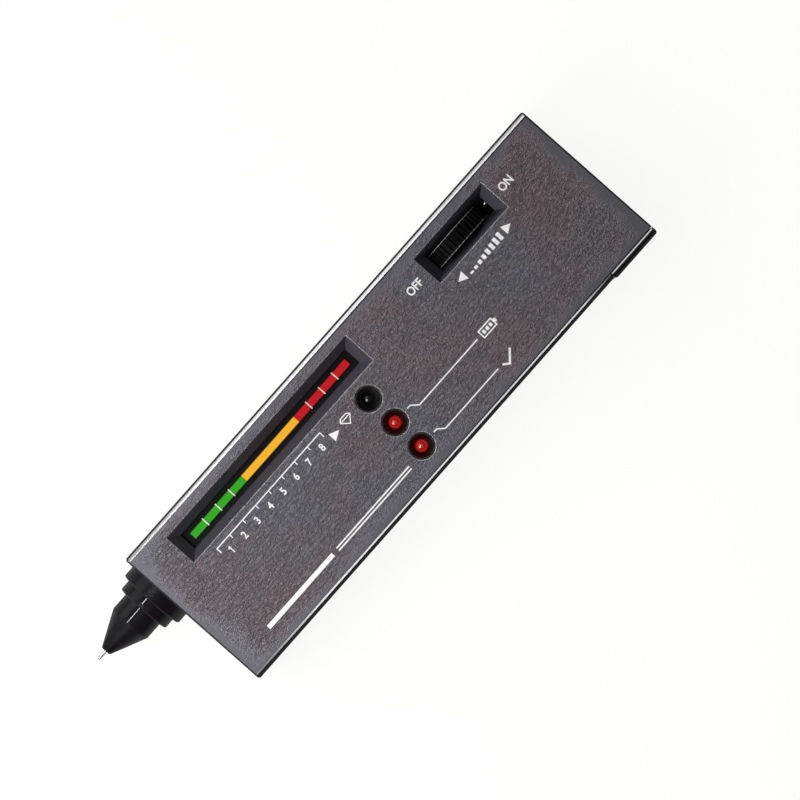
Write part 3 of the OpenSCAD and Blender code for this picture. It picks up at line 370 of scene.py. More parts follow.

# %% [markdown]
# Handling has rubbed the long edges at the face and, finely, the rims of the openings, so they are smoother
# and more metallic. A pale line is painted along the start of each rounding as a painted highlight, with a
# thin dark painted line beside it. The painted highlight grows fainter toward the nose and, on the far side,
# just before the door's tab, whose end is painted as a dark line of shade. On the rims it is stronger where
# they face the display side.

# %% Rub the edges and paint their highlights and shade
TAB_X_MM = 53.4
crest = between(axis_of(soft, "Z"), 0.0, 1.0, 0.8, 0.88)
rims = edges(soft) * crest * (1 - flank) * at_face * between(along, 1.0, 0.0, END_MM - 1.5, END_MM - 0.9)
polished = larger(lying * rounding, rims)
nearing = between(station, 0.0, 0.8, TAB_X_MM - 9.4, TAB_X_MM - 1.4) * away
nearing = nearing * between(station, 1.0, 0.0, TAB_X_MM - 0.2, TAB_X_MM + 0.2)
# border marks the painted highlight line along the start of each rounding, fading before the tab
border = close_to(across, EDGE_MM + 0.15, 0.158, 0.245) * lying * at_face
border = border * between(station, 0.3, 1.0, -64.0, -44.0) * (1 - nearing)
# painted highlight: pale on that line and on the rims, stronger on rims that face the display side
painted_highlight = larger(border, rims * between(axis_of(soft, "Y"), 0.2, 0.75, 0.05, 0.4))
# a thin dark line painted beside the painted highlight, a little inside each long edge
painted_dark_line = close_to(across, EDGE_MM - 0.16, 0.11, 0.187) * lying * at_face
painted_dark_line = painted_dark_line * between(station, 0.1, 0.9, -40.0, 5.0)
# painted shade: a dark line on the face where the door's tab ends
tab_end_painted_shade = close_to(station, TAB_X_MM, 0.1, 0.2) * lying * at_face
tab_end_painted_shade = tab_end_painted_shade * between(across, 0.0, 1.0, EDGE_MM - 0.4, EDGE_MM - 0.2) * away
# painted shade: the outer roundings and the end edges are coloured dark; they are also made duller
turned = (1 - lying) * rounding * between(squareness, 1.0, 0.0, 0.93, 0.985)
ends = between(along, 0.0, 1.0, END_MM - 0.55, END_MM - 0.3) * between(level, 0.0, 1.0, 0.1, 0.3)
dull_painted_edge_shade = larger(ends, turned)
print("door tab begins at", TAB_X_MM, "mm")

# %% [markdown]
# The paint drifts between a bluish and a reddish grey, and its valleys are painted a little darker than its
# ridges, as painted shade.
# The walls of the openings are painted darker, as shade, and the thumbwheel's slot is painted nearly black
# further down, as its shadow. The rubbed edge is painted bright on the display side, a painted highlight, and
# dark on the far side, painted shade, and the outermost edges are painted dark all round, as shade.

# %% Mix the paint
SLOT_X_MM = 20.0
PALE, NEARLY_BLACK, EDGE_SHADE = srgb(247, 246, 246), srgb(14, 12, 15), srgb(24, 22, 25)
patches = between(noise(spot, 0.032, detail=3.0, roughness=0.6), 0.0, 1.0, 0.4, 0.6) * grained
# painted shade: the grain's valleys are coloured darker than its ridges
painted = scaled(mix(patches, srgb(108, 107, 114), srgb(116, 103, 107)), 0.84 + (grain - 0.5) * flat * 0.6)
# painted shadow: the thumbwheel slot's walls turn nearly black further down
slot = between(depth, 0.0, 0.85, 0.6, 2.2) * between(leaning, 0.0, 1.0, 0.4, 0.6)
slot = slot * between(station, 0.0, 1.0, SLOT_X_MM, SLOT_X_MM + 2.0)
# painted shade: the walls of the openings are coloured darker than the face
shaded_wall_colour = mix(slot, srgb(60, 58, 66), srgb(9, 8, 10))
# painted highlight and shade on the rubbed edge: lighter from the nose toward the middle, dark on the far
# side
rubbed_edge_painted_light = mix(between(station, 0.0, 1.0, -65.0, 0.0), srgb(118, 116, 118), srgb(172, 170, 172))
rubbed_edge_painted_light = mix(rounding * away, rubbed_edge_painted_light, srgb(62, 60, 63))
base = mix(dull_painted_edge_shade, mix(polished, mix(walls, painted, shaded_wall_colour), rubbed_edge_painted_light), EDGE_SHADE)
base = mix(painted_highlight * (1 - ends), base, PALE)
paint.set("Base Color", mix(larger(painted_dark_line, tab_end_painted_shade), base, NEARLY_BLACK))
metal = 0.1 + 0.32 * larger(lying, flat) + 0.52 * polished
paint.set("Metallic", metal * (1 - larger(0.85 * painted_highlight, dull_painted_edge_shade)))
paint.set("Roughness", 0.29 + 0.06 * (1 - polished) + flat * 0.12 * grain + 0.2 * walls + 0.3 * dull_painted_edge_shade)
paint.set("Normal", relief((grain - 0.5) * flat, 0.19, mix_ways(flank, soft, plain)))
case_paint = paint.material
print("case paint nodes:", len(case_paint.node_tree.nodes))

# %% [markdown]
# ## Black plastics
# The cups, the lamp holder, the chips and other small mouldings are black or grey plastic. One function
# makes them all, with the gloss and the strength of the fine mould texture as its choices.

# %% Mould the black plastics
def black_finish(name, colour, gloss, texture_mm, lumps_per_mm=2.2, edge_mm=0.12, shine=0.2,
                 rim=(58, 56, 58)):
    finish = Finish(name, Specular_IOR_Level=shine)
    place = millimetres(finish)
    soft = softened(finish, edge_mm)
    skin = noise(place, lumps_per_mm, detail=3.0, roughness=0.6)
    haze = noise(place, 0.18, detail=2.0)
    lit = srgb(*[min(255, c + 9) for c in colour])
    base = mix(between(haze, 0.0, 1.0, 0.3, 0.7), srgb(*colour), lit)
    finish.set("Base Color", mix(edges(soft) * 0.7, base, srgb(*rim)))
    finish.set("Roughness", gloss + 0.14 * skin)
    finish.set("Normal", relief(skin, texture_mm, soft))
    return finish.material


# painted highlight: the light rim colour draws a bright ring on the edges of the cups and the sounder
cup_black = black_finish("cup_black", (9, 7, 8), 0.3, 0.002, shine=0.1, rim=(120, 117, 117))
sounder_black = black_finish("sounder_black", (17, 15, 15), 0.2, 0.002, shine=0.3, rim=(120, 117, 117))
holder_black = black_finish("holder_black", (7, 6, 7), 0.55, 0.01, lumps_per_mm=3.0, shine=0.1)
chip_black = black_finish("chip_black", (22, 22, 24), 0.5, 0.012, lumps_per_mm=6.0, edge_mm=0.05)
inner_plastic = black_finish("inner_plastic", (58, 58, 62), 0.45, 0.006)
snap_vinyl = black_finish("snap_vinyl", (20, 20, 21), 0.5, 0.02, lumps_per_mm=1.4, edge_mm=0.3)
print("black mouldings: 6")

# %% [markdown]
# The nose is smooth and satin, duller on its flanks. One line along its ring and its barrel, where fingers
# wipe it, is polished, and the overhead strip draws a short white glint there. The thumbwheel is rubbery
# plastic with both edges of its tread rubbed shiny, and a pale line is painted along each of them as a
# painted highlight.

# %% Finish the nose and the thumbwheel
RING_MM, BARREL_MM = (-72.65, -70.95), (-78.1, -73.75)


def stretch_of(value, ends, fade=0.2):
    """1 between two places, with a short fade around each."""
    rise = between(value, 0.0, 1.0, ends[0] - fade / 2, ends[0] + fade / 2)
    return rise * between(value, 1.0, 0.0, ends[1] - fade / 2, ends[1] + fade / 2)


def nose_finish():
    finish = Finish("nose_black", Specular_IOR_Level=0.1, Coat_Roughness=0.04)
    place, plain = millimetres(finish), plain_way(finish)
    station = axis_of(place, "X")
    streak = between(size_of(axis_of(plain, "Y") - 0.12), 1.0, 0.0, 0.08, 0.16)
    wiped = streak * larger(stretch_of(station, RING_MM), stretch_of(station, BARREL_MM))
    flanks = between(axis_of(plain, "Z"), 1.0, 0.0, 0.1, 0.6)
    haze = noise(place, 0.18, detail=2.0)
    base = mix(between(haze, 0.0, 1.0, 0.3, 0.7), srgb(14, 12, 15), srgb(23, 21, 24))
    finish.set("Base Color", mix(edges(softened(finish, 0.12)) * 0.7, base, srgb(46, 44, 46)))
    finish.set("Roughness", 0.3 + 0.3 * flanks - 0.24 * wiped)
    finish.set("Coat Weight", 0.5 * wiped)
    return finish.material


def wheel_finish():
    finish = Finish("wheel_black", Specular_IOR_Level=0.05)
    low, high = [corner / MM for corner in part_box("volume_wheel")]
    place = millimetres(finish)
    skin = noise(place, 4.0, detail=3.0)
    off_middle = size_of(axis_of(place, "Y") - (low.y + high.y) / 2 - 0.1)
    # painted highlight: a pale line along each edge of the tread, which is also made smoother
    rubbed_edge_painted_light = close_to(off_middle, (high.y - low.y) / 2 - 0.15, 0.063, 0.126)
    tread = mix(skin, srgb(6, 6, 7), srgb(12, 12, 13))
    finish.set("Base Color", mix(rubbed_edge_painted_light, tread, srgb(128, 126, 128)))
    finish.set("Roughness", 0.5 - 0.2 * rubbed_edge_painted_light)
    finish.set("Normal", relief(skin, 0.006, softened(finish, 0.06)))
    return finish.material


nose_black = nose_finish()
wheel_black = wheel_finish()
print("glints on the nose at", RING_MM, "and", BARREL_MM, "mm")

# %% [markdown]
# ## Metals
# Screws, leads, the needle and the metal cover differ in colour and in the direction of their
# scratches. Fine streaks come from noise that is squeezed along one axis, which looks like drawn or
# brushed metal.

# %% Brush the metals
def metal_finish(name, colour, gloss, streak=(0.3, 3.0, 3.0), edge_mm=0.06):
    finish = Finish(name, Metallic=1.0)
    place = millimetres(finish)
    soft = softened(finish, edge_mm)
    scratches = noise(stretched(place, streak), 4.0, detail=4.0, roughness=0.65)
    stain = noise(place, 0.5, detail=3.0)
    dark = srgb(*[int(c * 0.72) for c in colour])
    finish.set("Base Color", mix(between(stain, 0.0, 1.0, 0.35, 0.7), srgb(*colour), dark))
    finish.set("Roughness", gloss + 0.22 * scratches)
    finish.set("Normal", relief(scratches, 0.004, soft))
    return finish.material


screw_steel = metal_finish("screw_steel", (178, 176, 172), 0.24, streak=(2.0, 2.0, 0.4))
tinned_steel = metal_finish("tinned_steel", (190, 190, 188), 0.26, streak=(3.0, 3.0, 0.3))
needle_metal = metal_finish("needle_metal", (206, 198, 194), 0.2)
spring_steel = metal_finish("spring_steel", (176, 178, 182), 0.2)
print("metals: 4")

# %% [markdown]
# ## Lamps
# The bar lamps are small blocks of tinted, diffusing resin. In the photograph they are lit, so each
# glows in its own colour, a little stronger along its middle. The two round lamps are clear red domes
# with a bright core under a glossy skin. The glow is moderate, so the colours stay as written.

# %% Light the lamps
BAR_Y = (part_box("green_bar_lamps")[0].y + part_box("green_bar_lamps")[1].y) / 2 / MM


def bar_lamp_finish(name, body, core, rim):
    finish = Finish(name, Roughness=0.35, Specular_IOR_Level=0.12, Emission_Strength=0.55)
    place = millimetres(finish)
    soft = softened(finish, 0.12)
    off_middle = (axis_of(place, "Y") - BAR_Y) ** 2.0
    cloud = noise(place, 0.8, detail=2.0)
    border = between(off_middle, 0.0, 1.0, 0.62, 0.85)
    dark = srgb(*[c // 5 for c in rim])
    glow = mix(border, mix(cloud, srgb(*core), srgb(*rim)), dark)
    finish.set("Base Color", mix(border, srgb(*body), dark))
    finish.set("Emission Color", glow)
    finish.set("Normal", soft)
    return finish.material


green_lamp = bar_lamp_finish("green_lamp", (28, 112, 14), (56, 176, 30), (40, 150, 22))
amber_lamp = bar_lamp_finish("amber_lamp", (176, 122, 24), (248, 190, 52), (236, 172, 38))
red_lamp = bar_lamp_finish("red_lamp", (120, 10, 16), (216, 26, 34), (192, 16, 24))


def dome_lamp_finish(name, node):
    low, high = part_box(node)
    centre = (low + high) / 2 / MM
    finish = Finish(name, Roughness=0.12, Coat_Weight=1.0, Coat_Roughness=0.04, Emission_Strength=0.42)
    place = millimetres(finish)
    out_x = axis_of(place, "X") - centre.x
    out_y = axis_of(place, "Y") - centre.y
    out_squared = out_x * out_x + out_y * out_y
    ring = close_to(out_squared, 1.25, 0.141, 0.548)
    spark = between(out_squared, 1.0, 0.0, 0.02, 0.3)
    cloud = noise(place, 1.6, detail=2.0)
    finish.set("Base Color", mix(cloud, srgb(140, 8, 10), srgb(112, 4, 8)))
    bright = larger(ring * (0.3 + 0.5 * cloud), spark * 0.7)
    finish.set("Emission Color", mix(bright, srgb(188, 16, 14), srgb(244, 78, 64)))
    return finish.material


battery_dome = dome_lamp_finish("battery_lamp_red", "battery_lamp")
ready_dome = dome_lamp_finish("ready_lamp_red", "ready_lamp")
print("bar lamps lie along Y =", round(BAR_Y, 2), "mm")

# %% [markdown]
# ## Finishes inside the case
# Little of the inside shows until the door slides off, but every solid is a real thing and gets its
# own look: a green board with faint tracks, a foam pad, wires in coloured vinyl and a plain battery.

# %% Finish the inner pieces
def tinted_finish(name, colour, darker, gloss, lumps_per_mm, texture_mm, edge_mm=0.1):
    """A plain coloured material with cloudy shading, for vinyl, ceramic, foam and the like."""
    finish = Finish(name)
    place = millimetres(finish)
    soft = softened(finish, edge_mm)
    cloud = noise(place, lumps_per_mm, detail=3.0)
    finish.set("Base Color", mix(between(cloud, 0.0, 1.0, 0.3, 0.7), srgb(*colour), srgb(*darker)))
    finish.set("Roughness", gloss + 0.15 * cloud)
    finish.set("Normal", relief(cloud, texture_mm, soft))
    return finish.material


white_plastic = tinted_finish("white_plastic", (226, 224, 216), (208, 205, 196), 0.4, 1.5, 0.004)
heater_ceramic = tinted_finish("heater_ceramic", (232, 226, 212), (214, 204, 186), 0.6, 3.0, 0.01)
trimmer_blue = tinted_finish("trimmer_blue", (38, 72, 168), (30, 58, 142), 0.35, 1.2, 0.004)
red_vinyl = tinted_finish("red_vinyl", (176, 24, 22), (150, 16, 16), 0.35, 0.8, 0.006)
black_vinyl = tinted_finish("black_vinyl", (22, 22, 24), (14, 14, 15), 0.35, 0.8, 0.006)
orange_vinyl = tinted_finish("orange_vinyl", (214, 108, 26), (190, 88, 18), 0.35, 0.8, 0.006)
foam_grey = tinted_finish("foam_grey", (88, 88, 90), (58, 58, 60), 0.85, 2.6, 0.12)


def board_finish():
    finish = Finish("board_green", Coat_Weight=0.4, Coat_Roughness=0.2)
    place = millimetres(finish)
    weave = noise(place, 2.5, detail=2.0)
    squares = finish.node("ShaderNodeTexBrick", {"offset": 0.35}, {
        "Vector": place, "Scale": 0.16, "Mortar Size": 0.035, "Color1": (0, 0, 0, 1),
        "Color2": (0, 0, 0, 1), "Mortar": (1, 1, 1, 1), "Brick Width": 0.9, "Row Height": 0.4}, out="Fac")
    mask = mix(weave, srgb(18, 92, 46), srgb(12, 76, 38))
    finish.set("Base Color", mix(squares * 0.75, mask, srgb(44, 128, 62)))
    finish.set("Roughness", 0.38 + 0.1 * weave)
    finish.set("Normal", relief(squares, 0.03))
    return finish.material


def banded_finish(name, body, bands, node, axis, count, gloss):
    """A body with painted rings along one axis, as on resistors, capacitors and battery sleeves."""
    low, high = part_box(node)
    finish = Finish(name, Coat_Weight=0.3, Coat_Roughness=0.15)
    place = millimetres(finish)
    start, end = getattr(low, axis.lower()) / MM, getattr(high, axis.lower()) / MM
    along = (axis_of(place, axis) - start) * (count / (end - start))
    step = along.math("FRACT", along, 0.0)
    stops = [(at, srgb(*colour)) for at, colour in bands]
    painted = finish.node("ShaderNodeValToRGB", {"stops": stops}, {0: step})
    cloud = noise(place, 1.2, detail=2.0)
    finish.set("Base Color", mix(cloud * 0.3, painted, srgb(*body)))
    finish.set("Roughness", gloss + 0.12 * cloud)
    finish.set("Normal", softened(finish, 0.25))
    return finish.material


board_green = board_finish()
TAN, BROWN, GOLD = (196, 168, 120), (92, 50, 26), (178, 140, 58)
resistor_body = banded_finish("resistor_body", TAN, [
    (0.0, TAN), (0.3, TAN), (0.32, BROWN), (0.4, BROWN), (0.42, TAN), (0.52, TAN), (0.54, GOLD), (0.62, GOLD),
    (0.64, TAN)], "resistors", "X", 3, 0.35)
NAVY, SILVER = (28, 34, 62), (196, 196, 194)
capacitor_film = banded_finish("capacitor_film", NAVY, [
    (0.0, NAVY), (0.93, NAVY), (0.94, SILVER)], "capacitors", "Z", 1, 0.3)
STEEL_BLUE, DARK, ALUMINIUM = (58, 82, 112), (34, 36, 40), (176, 178, 180)
battery_can = banded_finish("battery_can", DARK, [
    (0.0, ALUMINIUM), (0.03, ALUMINIUM), (0.035, STEEL_BLUE), (0.3, STEEL_BLUE), (0.31, ALUMINIUM),
    (0.33, ALUMINIUM), (0.34, DARK), (0.965, DARK), (0.97, ALUMINIUM)], "battery_block", "X", 1, 0.28)
print("inner finishes made")

# %% [markdown]
# ## Which node wears what
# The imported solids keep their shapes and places. Only their materials change here, one line for each
# finish.

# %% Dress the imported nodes
WARDROBE = {
    "front_shell rear_shell battery_door": case_paint,
    "nose_bush lock_ring nose_cone": nose_black,
    "sounder_cup": sounder_black,
    "battery_lamp_cup ready_lamp_cup": cup_black,
    "volume_wheel": wheel_black,
    "bar_lamp_holder": holder_black,
    "bar_driver_chip amplifier_chip transistors sounder": chip_black,
    "volume_case spring_plug": inner_plastic,
    "battery_snap": snap_vinyl,
    "case_screws wheel_screw board_screws": screw_steel,
    "bar_lamp_leads indicator_lamp_leads volume_terminals volume_cover battery_terminals": tinned_steel,
    "probe_needle": needle_metal,
    "probe_spring": spring_steel,
    "green_bar_lamps": green_lamp,
    "amber_bar_lamps": amber_lamp,
    "red_bar_lamps": red_lamp,
    "battery_lamp": battery_dome,
    "ready_lamp": ready_dome,
    "volume_rotor trimmer_screw": white_plastic,
    "heater_sleeve": heater_ceramic,
    "trimmer_body": trimmer_blue,
    "red_lead": red_vinyl,
    "black_lead": black_vinyl,
    "probe_leads": orange_vinyl,
    "battery_pad": foam_grey,
    "main_board": board_green,
    "resistors": resistor_body,
    "capacitors": capacitor_film,
    "battery_block": battery_can,
}
for names, finish in WARDROBE.items():
    for name in names.split():
        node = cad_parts[name]
        node.data.materials.clear()
        node.data.materials.append(finish)
bare = set(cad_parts) - set(" ".join(WARDROBE).split())
print("nodes without a finish:", sorted(bare))

# %% [markdown]
# ## Printed marks
# White marks are printed on the face: a scale with the numbers 1 to 8, an arrow, ON and OFF beside
# the thumbwheel, and simple signs beside the lamps. A print is a thin skin of ink, so each group of
# marks is one mesh that stands a few hundredths of a millimetre proud of the face and rides on the case.
# Modelled ink keeps crisp edges at any distance, which a painted texture would not. Like every added piece,
# a print is built as a bmesh first, and one helper makes the object from it.

# %% Define a new piece
def new_piece(name, shape, finish, body):
    """A mesh object from a bmesh in metres, riding on a body."""
    mesh = bpy.data.meshes.new(name)
    bmesh.ops.recalc_face_normals(shape, faces=shape.faces)
    shape.to_mesh(mesh)
    shape.free()
    mesh.materials.append(finish)
    piece = bpy.data.objects.new(name, mesh)
    bpy.context.scene.collection.objects.link(piece)
    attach(piece, body)
    print(name, "has", len(mesh.polygons), "faces")
    return piece


# %% [markdown]
# A patch of ink is a very flat prism with its foot a little inside the case, so no gap shows under it. Bars,
# bent lines and frames are further outlines of the same kind.

# %% Define patches of ink
INK_MM, INK_ROOT_MM = 0.035, 0.03


def ink_patch(shape, outline):
    """A flat printed patch with this outline, in millimetres on the face."""
    low = [shape.verts.new((x * MM, y * MM, FACE - INK_ROOT_MM * MM)) for x, y in outline]
    high = [shape.verts.new((x * MM, y * MM, FACE + INK_MM * MM)) for x, y in outline]
    shape.faces.new(high)
    shape.faces.new(low[::-1])
    for i in range(len(outline)):
        j = (i + 1) % len(outline)
        shape.faces.new((low[i], low[j], high[j], high[i]))


def box_outline(x, y):
    """The corners of a rectangle between two ranges."""
    return [(x[0], y[0]), (x[1], y[0]), (x[1], y[1]), (x[0], y[1])]


def moved(outline, by):
    """The same outline somewhere else on the face."""
    return [(x + by[0], y + by[1]) for x, y in outline]


def ink_bar(shape, x, y):
    """A printed rectangle between two ranges."""
    ink_patch(shape, box_outline(x, y))


def ink_line(shape, points, width):
    """A printed open line of even width, mitred at its corners."""
    spots = [Vector(p) for p in points]
    ways = [(b - a).normalized() for a, b in zip(spots, spots[1:])]
    left, right = [], []
    for i, spot in enumerate(spots):
        first, second = ways[max(i - 1, 0)], ways[min(i, len(ways) - 1)]
        side = Vector((-first.y - second.y, first.x + second.x)) / (1 + first.dot(second))
        left.append(spot + side * width / 2)
        right.append(spot - side * width / 2)
    ink_patch(shape, right + left[::-1])


def ink_ring(shape, outer, inner):
    """A printed frame between two outlines with the same number of corners."""
    rows = [[shape.verts.new((x * MM, y * MM, FACE + z * MM)) for x, y in outline]
            for outline in (outer, inner) for z in (INK_MM, -INK_ROOT_MM)]
    outer_high, outer_low, inner_high, inner_low = rows
    for i in range(len(outer)):
        j = (i + 1) % len(outer)
        shape.faces.new((outer_high[i], outer_high[j], inner_high[j], inner_high[i]))
        shape.faces.new((outer_low[j], outer_low[i], inner_low[i], inner_low[j]))
        shape.faces.new((outer_low[i], outer_low[j], outer_high[j], outer_high[i]))
        shape.faces.new((inner_low[j], inner_low[i], inner_high[i], inner_high[j]))


print("ink stands", INK_MM, "mm proud")

# %% [markdown]
# Numbers and letters come from the built-in font. A text curve is turned into a mesh once, and its points are
# moved to the right height and place. The ink itself is an uneven white, because the grain of the case
# shows through it.

# %% Define letters and the white ink
def ink_letters(shape, letters, height, centre, weight=0.02, squeeze=0.86):
    """Numbers or letters of the built-in font, this high in millimetres, centred on a point of the face."""
    curve = bpy.data.curves.new("letters", "FONT")
    curve.body = letters
    curve.offset = weight
    curve.extrude = 0.5
    words = bpy.data.objects.new("letters", curve)
    bpy.context.scene.collection.objects.link(words)
    bpy.context.view_layer.update()
    mesh = bpy.data.meshes.new_from_object(words.evaluated_get(bpy.context.evaluated_depsgraph_get()))
    xs, ys = [v.co.x for v in mesh.vertices], [v.co.y for v in mesh.vertices]
    scale = height / (max(ys) - min(ys))
    middle = Vector(((max(xs) + min(xs)) / 2, (max(ys) + min(ys)) / 2))
    for v in mesh.vertices:
        x = centre[0] + (v.co.x - middle.x) * scale * squeeze
        y = centre[1] + (v.co.y - middle.y) * scale
        z = INK_MM if v.co.z > 0 else -INK_ROOT_MM
        v.co = (x * MM, y * MM, FACE + z * MM)
    shape.from_mesh(mesh)
    bpy.data.objects.remove(words)
    bpy.data.curves.remove(curve)
    bpy.data.meshes.remove(mesh)


def ink_finish():
    finish = Finish("white_ink", Specular_IOR_Level=0.35)
    place = millimetres(finish)
    thin = noise(place, 1.6, detail=3.0, roughness=0.6)
    cover = between(thin, 0.0, 1.0, 0.3, 0.62)
    finish.set("Base Color", mix(cover, srgb(222, 221, 222), srgb(247, 247, 246)))
    finish.set("Roughness", 0.45 + 0.2 * thin)
    finish.set("Normal", relief(leather_grain(place), 0.02))
    return finish.material


white_ink = ink_finish()
print("ink nodes:", len(white_ink.node_tree.nodes))

# %% [markdown]
# The scale is a line with a tick at each end and seven between them. A step of the scale is a little shorter
# than a lamp. An arrow after the last step points onward.

# %% Print the scale
SCALE_X, SCALE_Y = (-51.95, -16.8), 6.36
LINE_MM, TICK_MM = 0.26, 0.22
LONG_TICK_MM, SHORT_TICK_MM = 1.35, 1.0
STEP_MM = (SCALE_X[1] - SCALE_X[0]) / 8
ARROW = [(-15.9, 2.35), (-13.5, 3.5), (-15.9, 4.65)]
first_x, last_x = SCALE_X[0] + LINE_MM / 2, SCALE_X[1] - LINE_MM / 2
scale_ink = bmesh.new()
ink_line(scale_ink, [(first_x, SCALE_Y - LONG_TICK_MM), (first_x, SCALE_Y),
                     (last_x, SCALE_Y), (last_x, SCALE_Y - LONG_TICK_MM)], LINE_MM)
for i in range(1, 8):
    x = SCALE_X[0] + i * STEP_MM
    ink_bar(scale_ink, (x - TICK_MM / 2, x + TICK_MM / 2), (SCALE_Y - SHORT_TICK_MM, SCALE_Y - LINE_MM / 2))
ink_patch(scale_ink, ARROW)
new_piece("scale_print", scale_ink, white_ink, "case")

# %% [markdown]
# The numbers sit between the ticks. The font's 1 has a foot, so a plainer one is drawn from a bar and a flag.
# A small cut stone in outline follows the arrow.

# %% Print the numbers and the gem sign
NUMBER_Y, NUMBER_MM = 3.8, 1.85
ONE_FLAG = [(-0.38, 0.28), (-0.02, 0.55), (-0.02, NUMBER_MM / 2), (-0.38, 0.58)]
ONE_STEM = box_outline((-0.02, 0.22), (-NUMBER_MM / 2, NUMBER_MM / 2))
number_ink = bmesh.new()
for part in (ONE_STEM, ONE_FLAG):
    ink_patch(number_ink, moved(part, (SCALE_X[0] + STEP_MM / 2, NUMBER_Y)))
for i in range(1, 8):
    ink_letters(number_ink, str(i + 1), NUMBER_MM, (SCALE_X[0] + (i + 0.5) * STEP_MM, NUMBER_Y))
new_piece("number_print", number_ink, white_ink, "case")

GEM_AT = (-10.7, 3.75)
GEM_OUTER = [(-1.75, 0.45), (-1.0, 1.25), (1.0, 1.25), (1.75, 0.45), (0.0, -1.35)]
GEM_INNER = [(-1.4, 0.44), (-0.88, 1.01), (0.88, 1.01), (1.4, 0.44), (0.0, -1.0)]
GEM_GIRDLE = box_outline((-1.42, 1.42), (0.33, 0.57))
gem_ink = bmesh.new()
ink_ring(gem_ink, moved(GEM_OUTER, GEM_AT), moved(GEM_INNER, GEM_AT))
ink_patch(gem_ink, moved(GEM_GIRDLE, GEM_AT))
new_piece("gem_mark_print", gem_ink, white_ink, "case")

# %% [markdown]
# Beside the thumbwheel stand OFF and ON at its two ends, and below it two arrow heads with a row of
# growing bars between them, the common sign for louder.

# %% Print the thumbwheel's marks
SWITCH_MM, OFF_AT, ON_AT = 2.1, (21.8, 12.1), (52.9, 12.3)
switch_ink = bmesh.new()
ink_letters(switch_ink, "OFF", SWITCH_MM, OFF_AT)
ink_letters(switch_ink, "ON", SWITCH_MM, ON_AT)
new_piece("switch_print", switch_ink, white_ink, "case")

LOUDER_Y, HEAD_MM, HEAD_HALF = 5.45, 2.2, 1.2
BARS_X, BAR_STEP_MM, BAR_MM, BAR_GROWTH = 32.5, 1.45, 0.9, 0.22
louder_ink = bmesh.new()
for tip, way in ((29.2, 1), (46.9, -1)):
    back = tip + way * HEAD_MM
    ink_patch(louder_ink, [
        (tip, LOUDER_Y), (back, LOUDER_Y - way * HEAD_HALF), (back, LOUDER_Y + way * HEAD_HALF)])
for i in range(8):
    x = BARS_X + i * BAR_STEP_MM
    ink_bar(louder_ink, (x, x + BAR_MM), (LOUDER_Y - 1.1, LOUDER_Y - 0.6 + BAR_GROWTH * i))
new_piece("louder_print", louder_ink, white_ink, "case")

# %% [markdown]
# The two red lamps tell that the battery is good and that the tip is warm enough. A thin leader runs
# from each lamp to its sign, a battery for the one and a tick for the other, so no words are needed.

# %% Print the lamp signs
BATTERY_Y, READY_Y = -6.3, -14.2
LEADER_X, LEADER_MM = (0.2, 1.2), 0.3
CELL_X, CELL_HALF, CELL_LINE_MM = (23.6, 28.0), 1.15, 0.32
lamp_ink = bmesh.new()


def leader(lamp_y, sign_y, end_x):
    """A line that leaves a lamp, steps down at 45 degrees and runs to its sign."""
    down_x = LEADER_X[1] + lamp_y - sign_y
    ink_line(lamp_ink, [
        (LEADER_X[0], lamp_y), (LEADER_X[1], lamp_y), (down_x, sign_y), (end_x, sign_y)], LEADER_MM)


def cell_outline(inset):
    """The battery sign's case, drawn in by this much."""
    half = CELL_HALF - inset
    return box_outline((CELL_X[0] + inset, CELL_X[1] - inset), (BATTERY_Y - half, BATTERY_Y + half))


leader(-4.8, BATTERY_Y, 22.4)
ink_ring(lamp_ink, cell_outline(0.0), cell_outline(CELL_LINE_MM))
ink_bar(lamp_ink, (CELL_X[1], CELL_X[1] + 0.6), (BATTERY_Y - 0.5, BATTERY_Y + 0.5))
for i in range(3):
    ink_bar(lamp_ink, (24.3 + 1.1 * i, 25.05 + 1.1 * i), (BATTERY_Y - 0.45, BATTERY_Y + 0.45))
leader(-12.8, READY_Y, 20.6)
ink_line(lamp_ink, [(21.9, READY_Y - 0.1), (23.2, READY_Y - 1.2), (25.8, READY_Y + 1.2)], 0.5)
new_piece("lamp_sign_print", lamp_ink, white_ink, "case")

# %% [markdown]
# One broad stripe and a pair of fine ones close the layout along the lower edge of the face.

# %% Print the stripes
STRIPE_Y, STRIPE_HALF, FINE_MM = -14.1, 0.55, 0.35
BROAD_X, FINE_X = (-57.4, -35.4), (-33.9, -9.2)
stripe_ink = bmesh.new()
ink_bar(stripe_ink, BROAD_X, (STRIPE_Y - STRIPE_HALF, STRIPE_Y + STRIPE_HALF))
ink_bar(stripe_ink, FINE_X, (STRIPE_Y + STRIPE_HALF - FINE_MM, STRIPE_Y + STRIPE_HALF))
ink_bar(stripe_ink, FINE_X, (STRIPE_Y - STRIPE_HALF, STRIPE_Y - STRIPE_HALF + FINE_MM))
new_piece("stripe_print", stripe_ink, white_ink, "case")

# %% [markdown]
# ## Lamp dividers
# Between the green lamps and between the red ones a thin pale bead closes the joint; its pale colour is a
# painted highlight, the glint on the lamps' ends. Each bead lies over the gap between two lamps and just laps
# their sides. The amber lamps look like one strip, because resin of their own colour fills their gaps.

# %% Set the dividers
LAMPS, LAMP_GAP = 4, 0.2 * MM
BEAD_W, BEAD_H, BEAD_OVER = 0.26 * MM, 0.16 * MM, 0.1 * MM
FILL_H, FILL_SUNK = 0.98 * MM, 0.5 * MM


